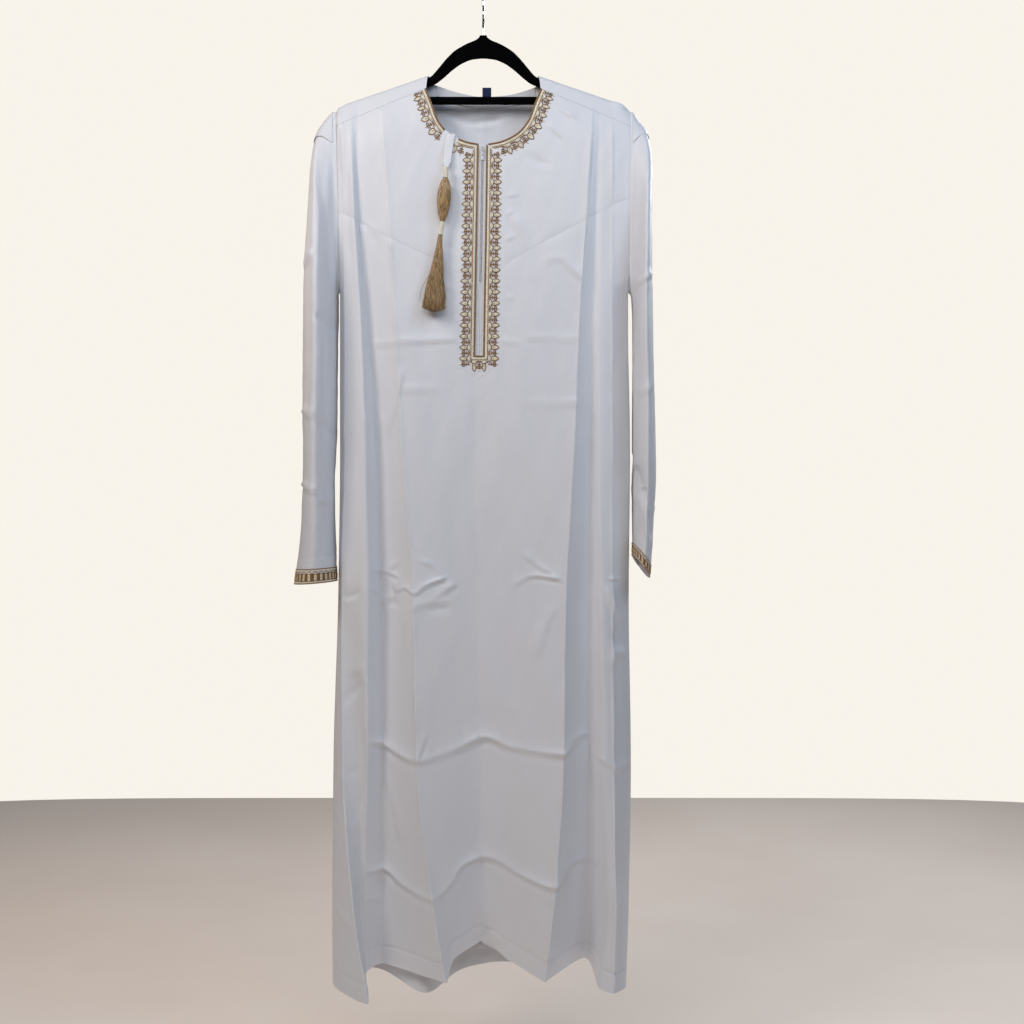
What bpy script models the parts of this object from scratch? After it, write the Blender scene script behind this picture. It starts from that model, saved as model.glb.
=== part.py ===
"""A long white robe with a braided neck and zip slit, hanging on a velvet clothes hanger.

Metres, +Z up, the front faces -Y. The origin is the point inside the top of the hook, where a rail
carries it. Tables are in millimetres: a drop is measured down from the origin.
"""
import math
from collections import namedtuple

import bmesh
import bpy
from mathutils import Vector

MM = 0.001
CLOTH = 1.4
GAP = 0.3
SEAM = 0.5
BLOCK_GAP = 0.6
TRIM = 1.2
TAPE = 0.8

# Shoulders, armholes and the hanger's place under them
RIDGE_DROP = 127.6
RIDGE_SLOPE = 0.345
NECK_HALF = 88.0
ARM_X = 235.0
TIP_START = 215.0
TIP_WIDTH = 20.0
TIP_FALL = 7.0
RIDGE_HALF_DEPTH = 6.0
RIDGE_ROUND = 6.0
FULL_DEPTH_BELOW = 90.0
ARM_TOP = 185.0
ARM_BOTTOM = 475.0
ARM_HALF_DEPTH = 26.0
SIDE_TURN_START = 435.0

# The drops at which the folds are measured: shoulder, chest, slit, waist, hip, knee, shin, hem
LEVELS = (150, 350, 530, 720, 960, 1220, 1450, 1570)

# soft is 1 on a loose fold and 0 on a pressed one; x and y are taken at each of the levels
Fold = namedtuple("Fold", "name soft x y")
FRONT_FOLDS = (
    Fold("left_side", 0.8, (-236, -229, -229, -229, -232, -239, -240, -238), (0, 0, 0, 0, 0, -4, -12, -20)),
    Fold("left_flap", 0.7, (-226, -219, -218, -218, -223, -220, -201, -178), (-25, -31, -25, -24, -24, -36, -60, -76)),
    Fold("left_tuck", 0.7, (-218, -211, -206, -203, -206, -196, -194, -185), (-24, -33, -33, -34, -36, -28, -26, -6)),
    Fold("left_brow", 0.6, (-211, -203, -191, -184, -180, -182, -188, -178), (-24, -38, -43, -46, -46, -40, -24, 4)),
    Fold("left_valley", 0.3, (-202, -196, -184, -168, -161, -158, -159, -161), (-23, -27, -22, -18, -14, -12, -2, 8)),
    Fold("left_press", 0.2, (-164, -148, -136, -126, -108, -102, -76, -56), (-24, -36, -42, -46, -50, -54, -56, -52)),
    Fold("left_slope", 0.9, (-84, -75, -67, -59, -55, -51, -47, -43), (-24, -31, -37, -39, -40, -38, -30, -10)),
    Fold("slit_left", 0.9, (-5, -8, -11, -14, -12, -9, -5, -3), (-22, -30, -34, -34, -32, -24, -2, 30)),
    Fold("slit_right", 0.9, (6, 4, 1, -1, 2, 8, 12, 12), (-22, -30, -34, -35, -33, -25, -2, 28)),
    Fold("right_slope", 0.9, (43, 43, 43, 43, 43, 43, 40, 35), (-23, -31, -37, -39, -38, -32, -12, 8)),
    Fold("right_press", 0.2, (176, 163, 151, 143, 130, 126, 110, 96), (-23, -36, -42, -48, -52, -56, -58, -52)),
    Fold("right_valley", 0.5, (186, 179, 173, 171, 170, 168, 166, 162), (-22, -27, -25, -24, -22, -18, -6, 20)),
    Fold("right_brow", 0.6, (192, 188, 185, 184, 186, 190, 196, 182), (-22, -29, -32, -36, -40, -44, -48, -56)),
    Fold("right_flap", 0.7, (205, 204, 204, 204, 204, 206, 208, 204), (-22, -28, -28, -30, -34, -42, -56, -64)),
    Fold("right_side", 0.8, (235, 232, 232, 235, 233, 236, 232, 227), (0, 0, 0, 0, 0, -4, -10, -20)),
)
BACK_FOLDS = (
    Fold("right_side", 0.8, (235, 232, 232, 235, 233, 236, 232, 227), (0, 0, 0, 0, 0, -4, -10, -20)),
    Fold("back_right", 0.8, (220, 222, 222, 224, 222, 224, 222, 218), (24, 30, 26, 24, 24, 24, 22, 14)),
    Fold("right_swell", 0.9, (163, 166, 170, 173, 170, 167, 167, 170), (22, 33, 36, 40, 42, 46, 52, 50)),
    Fold("right_dip", 0.9, (99, 95, 95, 98, 101, 101, 100, 98), (22, 27, 28, 28, 27, 26, 30, 34)),
    Fold("centre_swell", 0.9, (7, 7, 7, 7, 7, 10, 13, 16), (21, 31, 36, 38, 40, 44, 50, 54)),
    Fold("left_swell", 0.9, (-60, -55, -52, -52, -49, -45, -42, -39), (21, 30, 35, 38, 42, 46, 48, 40)),
    Fold("left_dip", 0.7, (-128, -125, -119, -116, -109, -102, -95, -91), (22, 25, 24, 23, 20, 14, 4, -12)),
    Fold("flank_swell", 0.9, (-182, -181, -178, -175, -175, -176, -176, -172), (22, 31, 34, 37, 38, 40, 40, 34)),
    Fold("back_left", 0.8, (-222, -220, -221, -221, -224, -229, -231, -227), (24, 30, 26, 24, 24, 26, 26, 20)),
    Fold("left_side", 0.8, (-236, -229, -229, -229, -232, -239, -240, -238), (0, 0, 0, 0, 0, -4, -12, -20)),
)

# Cut edges, as (x, drop) or, for the hems, one drop for each fold
FRONT_HEM = (1569, 1585, 1560, 1553, 1548, 1560, 1532, 1524, 1526, 1540, 1558, 1542, 1568, 1573, 1575)
BACK_HEM = (1575, 1566, 1549, 1556, 1562, 1571, 1590, 1566, 1562, 1569)
CHEST_SEAM_LEFT = ((-240, 349), (-227, 352), (-198, 366), (-145, 393), (-60, 435), (-34, 450), (-7, 461))
CHEST_SEAM_RIGHT = ((-1, 459), (22, 447), (49, 426), (164, 363), (202, 341), (229, 330), (243, 327))
NECKLINE = ((6.5, 243), (25, 239.5), (42, 233), (58.5, 221.5), (72, 203), (81, 178), (91, 152.5))
NECK_CENTRE = 0.5
BACK_NECK = ((-78, 139), (-38, 151), (0, 157), (40, 154), (59, 150), (86, 141.5))
SHOULDER_SEAM_FALL = (22.0, 34.0)
BACK_SEAM_FALL = (14.0, 30.0)
STRIP_END_DROP = 213.0
SLIT_BOTTOM = 578.5
SIDE_COLUMN = 0.12
SIDE_SHIFT = 0.42

# The sleeves, from the armhole to the wrist: the outer and inner points of each ring, half its depth,
# how far its back leans out, and how pointed its front and back are
Ring = namedtuple("Ring", "outer_x outer_drop inner_x inner_drop half_depth lean point")
LEFT_SLEEVE = (
    Ring(-236, 185, -229, 475, 26, 0, 1.00),
    Ring(-239, 185.6, -230, 475.4, 26.3, 0, 1.00),
    Ring(-253, 201, -231, 477, 33, 0, 1.00),
    Ring(-266, 222, -232, 480, 42, 0, 1.02),
    Ring(-273, 252, -233, 484, 52, 0, 1.05),
    Ring(-278, 306, -233, 492, 62, 2, 1.10),
    Ring(-282, 370, -233, 503, 70, 6, 1.15),
    Ring(-285, 445, -233, 521, 75, 12, 1.20),
    Ring(-286, 530, -233, 561, 78, 16, 1.25),
    Ring(-286, 610, -233, 612, 78, 15, 1.25),
    Ring(-286, 700, -234, 692, 76, 9, 1.25),
    Ring(-287, 780, -237, 776, 72, 2, 1.20),
    Ring(-290, 850, -237, 848, 66, 0, 1.20),
    Ring(-297, 908, -235, 905, 60, 0, 1.20),
    Ring(-301, 940, -234, 935, 56, 0, 1.20),
)
RIGHT_SLEEVE = (
    Ring(235, 185, 232, 475, 26, 0, 1.00),
    Ring(238, 185.6, 233, 475.4, 26.3, 0, 1.00),
    Ring(247, 200, 234.5, 477, 33, 0, 1.00),
    Ring(260, 217, 236, 480, 42, 0, 1.02),
    Ring(267, 246, 237, 484, 52, 0, 1.05),
    Ring(269, 306, 238, 492, 62, 0, 1.10),
    Ring(269, 370, 238.5, 503, 68, 2, 1.15),
    Ring(269, 445, 239, 521, 72, 4, 1.20),
    Ring(270, 530, 239, 561, 74, 4, 1.25),
    Ring(272, 612, 239, 612, 74, 2, 1.25),
    Ring(274, 700, 238.5, 688, 72, 0, 1.20),
    Ring(275, 780, 238.5, 760, 68, 0, 1.20),
    Ring(272, 850, 239, 815, 62, 0, 1.20),
    Ring(268, 905, 239, 868, 56, 0, 1.20),
    Ring(265, 930, 239, 893, 52, 0, 1.20),
)
SLEEVE_SIDES = 20
SLEEVE_PLACES = (0, 1, 1.5, 2, 2.5, 3, 3.5, 4, 4.5, 5, 5.5, 6, 7, 8, 9, 10, 11, 12, 13, 14)
CUFF_BAND_START = 13.15
CAP_HALF_ANGLE = 50.0
CAP_START = 1.1
CAP_REACH = 3.55
CAP_LIFT = 1.1

# Braid round the neck and slit
BRAID_WIDTH = 25.0
BRAID_LIFT = 0.5
SCALLOP_DEPTH = 5.0
SCALLOP_PITCH = 17.6
NECK_BRAID_END = 0.765
TAB_GAP = (0.485, 0.70)

# Zip
TAPE_LAP = 6.0
TAPE_TOP = 247.0
TAPE_BOTTOM = 572.0
SLIDER_DROP = 252.0
SLIDER_SIZE = (5.4, 2.2, 9.0)
BAIL_HEIGHT = 2.4
BAIL_WIRE = 0.8
BAIL_LENGTH = 5.6
PULL_WIDTH = 3.8
PULL_LENGTH = 17.0
PULL_THICKNESS = 0.8
PULL_RAIL = 0.8
PULL_WINDOW = 4.2

# Tassel: the tab as (x, drop, lift off the yoke), the rest as (x, y, drop) down its middle
TAB_PATH = ((-50, 228, 2.8), (-52.5, 240, 3.4), (-55, 260, 6.0), (-57, 283, 9.5))
TAB_WIDTH = (14.5, 12.0)
TAB_THICKNESS = 2.4
TASSEL_PATH = ((-57.2, -41.0, 283.4), (-58.4, -42.0, 301.0), (-63.2, -43.6, 370.0), (-66.4, -45.0, 391.0),
               (-77.0, -50.0, 508.0))
COLLAR_RADIUS = (3.9, 3.3)
BULB_PROFILE = ((3.4, 0.0), (6.2, 0.06), (8.9, 0.18), (10.6, 0.38), (10.6, 0.5), (8.8, 0.72), (5.4, 0.92),
                (3.2, 1.0))
BULB_FLATNESS = 0.72
BRUSH_HEAD = 9.0
BRUSH_GRID = (10, 5)
BRUSH_HALF_TOP = (3.0, 2.6)
BRUSH_HALF_END = (19.0, 8.0)
BRUSH_STEPS = 3

# Hanger and hook
HANGER_HALF = 3.0
HANGER_BEVEL = 1.2
HANGER_TOP = ((5.7, 62.9), (6.4, 66.5), (13, 71.2), (27.6, 76.8), (46.8, 88.2), (60.2, 101.8), (74, 118.8),
              (82, 128.0), (90, 132.8), (210, 174.2))
HANGER_TIP = ((217.0, 178.5), (219.5, 185.0), (216.0, 191.5), (207.0, 193.5))
HANGER_ARM_BELOW = ((150, 174.6), (136, 173.2))
HANGER_HOLE = ((0, 98.9), (20.4, 101.2), (36, 108.2), (50, 118.4), (63.8, 131.0), (75.9, 140.2), (92, 147.0),
               (128, 158.6), (131, 161.3))
WIRE_RADIUS = 1.8
HOOK_INNER = 19.0
HOOK_START = -60.0
HOOK_END = 195.0
HOOK_STEP = 14.0

# Neck label
LABEL_X = (-1.6, 12.6)
LABEL_DROP = (143.0, 160.0)
LABEL_THICKNESS = 0.8

# Colour, roughness and metal
WHITE_CLOTH = ((0.62, 0.64, 0.70, 1.0), 0.45, 0.0)
BRAID = ((0.24, 0.15, 0.08, 1.0), 0.6, 0.0)
THREAD = ((0.26, 0.15, 0.06, 1.0), 0.55, 0.0)
CREAM = ((0.68, 0.62, 0.48, 1.0), 0.5, 0.0)
VELVET = ((0.006, 0.006, 0.007, 1.0), 0.95, 0.0)
CHROME = ((0.75, 0.75, 0.76, 1.0), 0.18, 1.0)
NAVY = ((0.012, 0.018, 0.06, 1.0), 0.7, 0.0)


def make_material(name, look):
    colour, roughness, metallic = look
    material = bpy.data.materials.new(name)
    material.use_nodes = True
    shader = material.node_tree.nodes["Principled BSDF"]
    shader.inputs["Base Color"].default_value = colour
    shader.inputs["Roughness"].default_value = roughness
    shader.inputs["Metallic"].default_value = metallic
    material.diffuse_color = colour
    return material


def keep(obj, collection, material):
    """Put a finished object in the robe's collection with its own material."""
    for owner in list(obj.users_collection):
        owner.objects.unlink(obj)
    collection.objects.link(obj)
    obj.data.materials.clear()
    obj.data.materials.append(material)
    return obj


def new_object(name, vertices, faces, collection, material):
    used = sorted({corner for face in faces for corner in face})
    place = {corner: index for index, corner in enumerate(used)}
    vertices = [vertices[corner] for corner in used]
    faces = [tuple(place[corner] for corner in face) for face in faces]
    mesh = bpy.data.meshes.new(name)
    mesh.from_pydata([tuple(c * MM for c in vertex) for vertex in vertices], [], faces)
    mesh.update()
    obj = bpy.data.objects.new(name, mesh)
    bpy.context.scene.collection.objects.link(obj)
    keep(obj, collection, material)
    mesh.shade_smooth()
    return obj


def smooth_step(value):
    value = min(max(value, 0.0), 1.0)
    return value * value * (3.0 - 2.0 * value)


def between(start, end, share):
    return start + (end - start) * share


def smooth_value(places, values, at):
    """A smooth value between a table's rows that never passes beyond the two nearest."""
    if at <= places[0]:
        return values[0]
    if at >= places[-1]:
        return values[-1]
    steps = [(values[i + 1] - values[i]) / (places[i + 1] - places[i]) for i in range(len(places) - 1)]
    i = max(k for k in range(len(steps)) if places[k] <= at)

    def slope(k):
        if k <= 0 or k >= len(steps):
            return steps[min(max(k - 1, 0), len(steps) - 1)] if k else steps[0]
        if steps[k - 1] * steps[k] <= 0:
            return 0.0
        return 2.0 * steps[k - 1] * steps[k] / (steps[k - 1] + steps[k])

    span = places[i + 1] - places[i]
    t = (at - places[i]) / span
    rise = (1.0 + 2.0 * t) * (1.0 - t) ** 2 * values[i] + t * t * (3.0 - 2.0 * t) * values[i + 1]
    return rise + span * (t * (1.0 - t) ** 2 * slope(i) + t * t * (t - 1.0) * slope(i + 1))


def smooth_along(points, at):
    """The y of a cut edge's (x, y) points at one x."""
    return smooth_value([p[0] for p in points], [p[1] for p in points], at)


def ridge_drop(x):
    """The drop of the shoulder line, which lies on the hanger and falls over at its tip."""
    out = max(abs(x) - NECK_HALF, 0.0)
    tip = max(abs(x) - TIP_START, 0.0) / TIP_WIDTH
    return RIDGE_DROP + RIDGE_SLOPE * out + TIP_FALL * tip * tip


def shoulder_depth(full, x, drop):
    """The cloth's depth below the shoulder line: round over the hanger, then out to its full depth."""
    below = max(drop - ridge_drop(x), 0.0)
    opened = 1.0 - (1.0 - min(below / FULL_DEPTH_BELOW, 1.0)) ** 2
    rounded = math.sqrt(max(1.0 - (1.0 - min(below / RIDGE_ROUND, 1.0)) ** 2, 0.0))
    return rounded * between(RIDGE_HALF_DEPTH, full, opened)


def armhole_depth(drop):
    middle = (ARM_TOP + ARM_BOTTOM) / 2.0
    share = (drop - middle) / (ARM_BOTTOM - middle)
    return ARM_HALF_DEPTH * math.sqrt(max(1.0 - share * share, 0.0))


def fold_point(folds, index, drop, facing):
    """Where one fold is at a drop; facing is -1 on the front and 1 on the back."""
    fold = folds[index]
    x = smooth_value(LEVELS, fold.x, drop)
    y = smooth_value(LEVELS, fold.y, drop)
    if index in (0, len(folds) - 1) and drop < ARM_BOTTOM:
        y = facing * armhole_depth(drop)
    return Vector((x, y))


def panel_point(folds, u, drop, facing):
    """The outer surface of the front or back at fold number u, a fraction being between two folds."""
    last = len(folds) - 1
    k = min(max(int(u), 0), last - 1)
    t = u - k
    near = {i: fold_point(folds, i, drop, facing) for i in range(max(k - 1, 0), min(k + 2, last) + 1)}
    start = near[k]
    end = near[k + 1]
    chord = (end - start).length

    def heading(i):
        turned = smooth_step((drop - SIDE_TURN_START) / (ARM_BOTTOM - SIDE_TURN_START))
        if i == 0:
            side = Vector((0.0, 1.0)) * facing
            return ((near[1] - near[0]).normalized() * (1.0 - turned) + side * turned).normalized()
        if i == last:
            side = Vector((0.0, -1.0)) * facing
            return ((near[last] - near[last - 1]).normalized() * (1.0 - turned) + side * turned).normalized()
        return (near[i + 1] - near[i - 1]).normalized()

    leave = heading(k) * chord * folds[k].soft
    arrive = heading(k + 1) * chord * folds[k + 1].soft
    point = start * ((1.0 + 2.0 * t) * (1.0 - t) ** 2) + end * (t * t * (3.0 - 2.0 * t))
    point = point + leave * (t * (1.0 - t) ** 2) + arrive * (t * t * (t - 1.0))
    if facing * point.y > 0.0:
        at_side = smooth_step(1.0 - u) + smooth_step(1.0 - (last - u))
        hung = shoulder_depth(abs(point.y), point.x, drop)
        point.y = facing * between(hung, abs(point.y), at_side)
    return point


def fold_number(folds, x, drop, facing):
    """The fold number of a panel at one x, above the waist, where x only grows or only shrinks."""
    last = len(folds) - 1
    low, high = 0.0, float(last)
    rising = folds[last].x[0] > folds[0].x[0]
    for _ in range(26):
        middle = (low + high) / 2.0
        if (panel_point(folds, middle, drop, facing).x < x) == rising:
            low = middle
        else:
            high = middle
    return low


def depth_at(folds, x, drop, facing):
    return panel_point(folds, fold_number(folds, x, drop, facing), drop, facing).y


def front_point(x, drop, lift=0.0):
    """A point of the front at an x and a drop, lifted off the outer surface."""
    step = 1.0
    y = depth_at(FRONT_FOLDS, x, drop, -1)
    if not lift:
        return Vector((x, y, -drop))
    across = (depth_at(FRONT_FOLDS, x + step, drop, -1) - depth_at(FRONT_FOLDS, x - step, drop, -1)) / (2 * step)
    down = (depth_at(FRONT_FOLDS, x, drop + step, -1) - depth_at(FRONT_FOLDS, x, drop - step, -1)) / (2 * step)
    out = Vector((across, -1.0, -down)).normalized()
    return Vector((x, y, -drop)) + out * lift


def grid_faces(columns, rows, closed=False, skip=()):
    faces = []
    for i in range(columns if closed else columns - 1):
        for j in range(rows - 1):
            if (i, j) not in skip:
                a = i * rows + j
                b = ((i + 1) % columns) * rows + j
                faces.append((a, a + 1, b + 1, b))
    return faces


def wall(obj, thickness):
    """Give an open surface its thickness, all of it behind the outer face."""
    modifier = obj.modifiers.new("wall", "SOLIDIFY")
    modifier.thickness = thickness * MM
    modifier.offset = -1.0
    modifier.use_quality_normals = True
    return obj


def sheet_object(name, grid, collection, material, thickness=CLOTH, closed=False, skip=(), flip=False):
    """A walled sheet from a grid of outer points, listed column by column from the wearer's right."""
    rows = len(grid[0])
    faces = grid_faces(len(grid), rows, closed, skip)
    if flip:
        faces = [tuple(reversed(face)) for face in faces]
    points = [tuple(point) for column in grid for point in column]
    return wall(new_object(name, points, faces, collection, material), thickness)


def drawn_in(grid, across, down):
    """A grid whose marked borders stand back by half the gap between blocks: across for its columns, down for its rows."""
    grid = [[Vector(point) for point in column] for column in grid]
    half = BLOCK_GAP / 2.0
    if across[0]:
        grid[0] = [a + (b - a).normalized() * half for a, b in zip(grid[0], grid[1])]
    if across[1]:
        grid[-1] = [a + (b - a).normalized() * half for a, b in zip(grid[-1], grid[-2])]
    for column in grid:
        if down[0]:
            column[0] = column[0] + (column[1] - column[0]).normalized() * half
        if down[1]:
            column[-1] = column[-1] + (column[-2] - column[-1]).normalized() * half
    return grid


def parted_sheet(names, grid, column_cuts, row_cuts, collection, look, closed=False, skip=(), flip=False):
    """A sheet made in blocks, so that each block's collision can follow its folds; names go row by row."""
    column_ends = [0] + list(column_cuts) + [len(grid) - 1]
    row_ends = [0] + list(row_cuts) + [len(grid[0]) - 1]
    names = iter(names)
    for top, bottom in zip(row_ends, row_ends[1:]):
        for left, right in zip(column_ends, column_ends[1:]):
            block = [column[top:bottom + 1] for column in grid[left:right + 1]]
            across = (left > 0, right < len(grid) - 1)
            down = (top > 0, bottom < len(grid[0]) - 1)
            gone = {(i - left, j - top) for i, j in skip}
            name = next(names)
            material = make_material(name + "_cloth", look)
            block = drawn_in(block, across, down)
            sheet_object(name, block, collection, material, closed=closed, skip=gone, flip=flip)


def fold_columns(counts):
    """Fold numbers for a grid's columns, with a count of steps between each two folds."""
    columns = [0.0, SIDE_COLUMN]
    for k, count in enumerate(counts):
        columns += [k + (i + 1) / count for i in range(count)]
    columns.insert(-1, len(counts) - SIDE_COLUMN)
    return columns


FRONT_COLUMNS = fold_columns((2, 1, 1, 2, 3, 3, 3, 1, 3, 4, 1, 1, 1, 2))
BACK_COLUMNS = fold_columns((2, 2, 2, 3, 2, 2, 2, 2, 2))
SLIT_LEFT = 7
SLIT_RIGHT = 8
ROWS_BY_SLIT = 4
ROWS_BELOW_SLIT = 16
FRONT_ROW_CUTS = (8, 12, 16)
BACK_ROWS = 21
BACK_CENTRE = 4
BACK_ROW_CUTS = (6, 10, 14, 17)
SLEEVE_CUTS = (14,)
FRONT_LEVELS = ("chest", "waist", "knee", "hem")
BACK_LEVELS = ("shoulder", "chest", "waist", "knee", "hem")
SLEEVE_LEVELS = ("upper", "lower")
SIDES = ("left", "right")


def seam_drop_on_fold(u):
    """Where the chest seam crosses a line that runs down the front."""
    side = CHEST_SEAM_LEFT if u <= SLIT_LEFT else CHEST_SEAM_RIGHT
    drop = 400.0
    for _ in range(8):
        drop = smooth_along(side, panel_point(FRONT_FOLDS, u, drop, -1).x)
    return drop


def hem_drop(hem, u):
    return smooth_value(range(len(hem)), hem, u)


def side_shift(u, last):
    """Half the seam gap at the two side seams, and nothing elsewhere."""
    return SIDE_SHIFT if u in (0.0, float(last)) else 0.0


def lower_front(collection, look):
    """The front below the chest seam, down to the hem, with the bottom of the zip slit cut in it."""
    last = len(FRONT_FOLDS) - 1
    grid = []
    for u in FRONT_COLUMNS:
        top = seam_drop_on_fold(u) + SEAM / 2.0
        hem = hem_drop(FRONT_HEM, u)
        drops = [between(top, SLIT_BOTTOM, j / ROWS_BY_SLIT) for j in range(ROWS_BY_SLIT)]
        drops += [between(SLIT_BOTTOM, hem, j / ROWS_BELOW_SLIT) for j in range(ROWS_BELOW_SLIT + 1)]
        column = []
        for drop in drops:
            point = panel_point(FRONT_FOLDS, u, drop, -1)
            column.append((point.x, point.y - side_shift(u, last), -drop))
        grid.append(column)
    slit = FRONT_COLUMNS.index(float(SLIT_LEFT))
    skip = {(slit, j) for j in range(ROWS_BY_SLIT)}
    names = ["front_" + level + "_" + side for level in FRONT_LEVELS for side in SIDES]
    parted_sheet(names, grid, (slit,), FRONT_ROW_CUTS, collection, look, skip=skip)


def neck_points(side, count):
    """Points along half the front neckline, from the shoulder to the slit; side is -1 on the left."""
    points = []
    for i in range(count):
        share = 1.0 - i / (count - 1.0)
        place = share * (len(NECKLINE) - 1)
        across = smooth_value(range(len(NECKLINE)), [p[0] for p in NECKLINE], place)
        drop = smooth_value(range(len(NECKLINE)), [p[1] for p in NECKLINE], place)
        points.append((NECK_CENTRE + side * across, drop))
    return points


def shoulder_seam_drop(x, falls):
    """A straight seam beside the shoulder line, from the neck to the armhole."""
    out = abs(x) - NECK_HALF
    return RIDGE_DROP + RIDGE_SLOPE * out + between(falls[0], falls[1], out / (ARM_X - NECK_HALF))


def front_yoke(name, side, collection, material):
    """The front above the chest seam: the shoulder seam and the neckline are its upper edge."""
    if side < 0:
        columns = [u for u in FRONT_COLUMNS if u <= SLIT_LEFT]
    else:
        columns = [u for u in reversed(FRONT_COLUMNS) if u >= SLIT_RIGHT]
        columns.reverse()
    bottoms = []
    for u in columns:
        drop = seam_drop_on_fold(u) - SEAM / 2.0
        bottoms.append((panel_point(FRONT_FOLDS, u, drop, -1).x, drop))
    neck_count = 9
    shoulder_count = len(columns) - neck_count + 1
    neck = neck_points(side, neck_count)
    arm_x = bottoms[0][0] if side < 0 else bottoms[-1][0]
    shoulder_tip = smooth_value(LEVELS, FRONT_FOLDS[0 if side < 0 else -1].x, STRIP_END_DROP)
    tops = []
    for i in range(shoulder_count - 1):
        x = between(shoulder_tip, neck[0][0], i / (shoulder_count - 1.0))
        tops.append((x, shoulder_seam_drop(x, SHOULDER_SEAM_FALL) + SEAM / 2.0))
    tops += neck
    if side > 0:
        tops.reverse()
    rows = 9
    grid = []
    for (top_x, top_drop), (end_x, end_drop) in zip(tops, bottoms):
        column = []
        for j in range(rows):
            share = (j / (rows - 1.0)) ** 1.4
            x = between(top_x, end_x, share)
            drop = between(top_drop, end_drop, share)
            if abs(end_x - arm_x) < 0.01:
                x = smooth_value(LEVELS, FRONT_FOLDS[0 if side < 0 else -1].x, drop)
                column.append((x, -armhole_depth(drop), -drop))
            else:
                column.append(tuple(front_point(x, drop)))
        grid.append(column)
    return sheet_object(name, grid, collection, material)


def back_top_drop(x):
    if BACK_NECK[0][0] <= x <= BACK_NECK[-1][0]:
        return smooth_along(BACK_NECK, x)
    return shoulder_seam_drop(x, BACK_SEAM_FALL) + SEAM


def back_body(collection, look):
    """The whole back, from the neck and shoulder seams to its longer hem."""
    last = len(BACK_FOLDS) - 1
    corners = [fold_number(BACK_FOLDS, x, drop, 1) for x, drop in (BACK_NECK[0], BACK_NECK[-1])]
    grid = []
    columns = sorted(BACK_COLUMNS + corners)
    for u in columns:
        top = 150.0
        for _ in range(8):
            top = back_top_drop(panel_point(BACK_FOLDS, u, top, 1).x)
        hem = hem_drop(BACK_HEM, u)
        column = []
        for j in range(BACK_ROWS):
            drop = between(top, hem, (j / (BACK_ROWS - 1.0)) ** 1.3)
            point = panel_point(BACK_FOLDS, u, drop, 1)
            column.append((point.x, point.y + side_shift(u, last), -drop))
        grid.append(column)
    names = ["back_" + level + "_" + side for level in BACK_LEVELS for side in reversed(SIDES)]
    parted_sheet(names, grid, (columns.index(float(BACK_CENTRE)),), BACK_ROW_CUTS, collection, look)


def shoulder_strip(name, side, collection, material):
    """The strip over each shoulder, from the front shoulder seam across the hanger to the back seam."""
    columns = 10
    half = 5
    edge = FRONT_FOLDS[0 if side < 0 else -1].x
    grid = []
    for i in range(columns):
        share = i / (columns - 1.0)
        neck_front = NECK_CENTRE + side * NECKLINE[-1][0]
        neck_back = BACK_NECK[0][0] if side < 0 else BACK_NECK[-1][0]
        column = []
        for j in range(2 * half + 1):
            turn = abs(j - half) / half
            front = j < half
            neck_x = between(side * NECK_HALF, neck_front if front else neck_back, turn)
            arm_x = smooth_value(LEVELS, edge, between(ARM_TOP, STRIP_END_DROP, turn))
            x = between(neck_x, arm_x, share)
            falls = SHOULDER_SEAM_FALL if front else BACK_SEAM_FALL
            fall = shoulder_seam_drop(x, falls) - ridge_drop(x) - SEAM / 2.0
            drop = ridge_drop(x) + fall * (1.0 - math.cos(turn * math.pi / 2.0))
            y = 0.0
            if i == columns - 1:
                x = smooth_value(LEVELS, edge, drop)
                y = math.copysign(armhole_depth(drop), j - half) if j != half else 0.0
            elif j != half:
                folds = FRONT_FOLDS if front else BACK_FOLDS
                y = depth_at(folds, x, drop, -1 if front else 1)
            column.append((x, y, -drop))
        grid.append(column)
    if side < 0:
        grid.reverse()
    return sheet_object(name, grid, collection, material, flip=True)


def sleeve_point(rings, place, angle, lift=0.0):
    """A point of a sleeve's outer surface: place counts the rings, angle turns from the outside to the front."""
    places = range(len(rings))
    values = [smooth_value(places, [ring[k] for ring in rings], place) for k in range(7)]
    outer = Vector((values[0], 0.0, -values[1]))
    inner = Vector((values[2], 0.0, -values[3]))
    middle = (outer + inner) / 2.0
    reach = (outer - inner) / 2.0
    turn = math.cos(angle)
    across = math.copysign(abs(turn) ** values[6], turn)
    depth = math.sin(angle)
    side = math.copysign(1.0, values[0])
    lean = values[5] * max(-depth, 0.0) ** 2 * side
    point = middle + reach * across + Vector((lean, -values[4] * depth, 0.0))
    if not lift:
        return point
    step = 0.02
    before = sleeve_point(rings, max(place - step, 0.0), angle)
    after = sleeve_point(rings, place + step, angle)
    ahead = sleeve_point(rings, place, angle + step)
    behind = sleeve_point(rings, place, angle - step)
    out = (ahead - behind).cross(after - before).normalized() * side
    if out.dot(point - middle) < 0.0:
        out.negate()
    return point + out * lift


def sleeve(word, rings, side, collection, look):
    grid = []
    for i in range(SLEEVE_SIDES):
        angle = 2.0 * math.pi * i / SLEEVE_SIDES
        column = []
        for place in SLEEVE_PLACES:
            point = sleeve_point(rings, place, angle)
            if place == 0:
                point.x = smooth_value(LEVELS, FRONT_FOLDS[0 if side < 0 else -1].x, -point.z) + side * SEAM
            column.append(tuple(point))
        grid.append(column)
    names = ["sleeve_" + word + "_" + level for level in SLEEVE_LEVELS]
    parted_sheet(names, grid, (), SLEEVE_CUTS, collection, look, closed=True, flip=side > 0)


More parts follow.
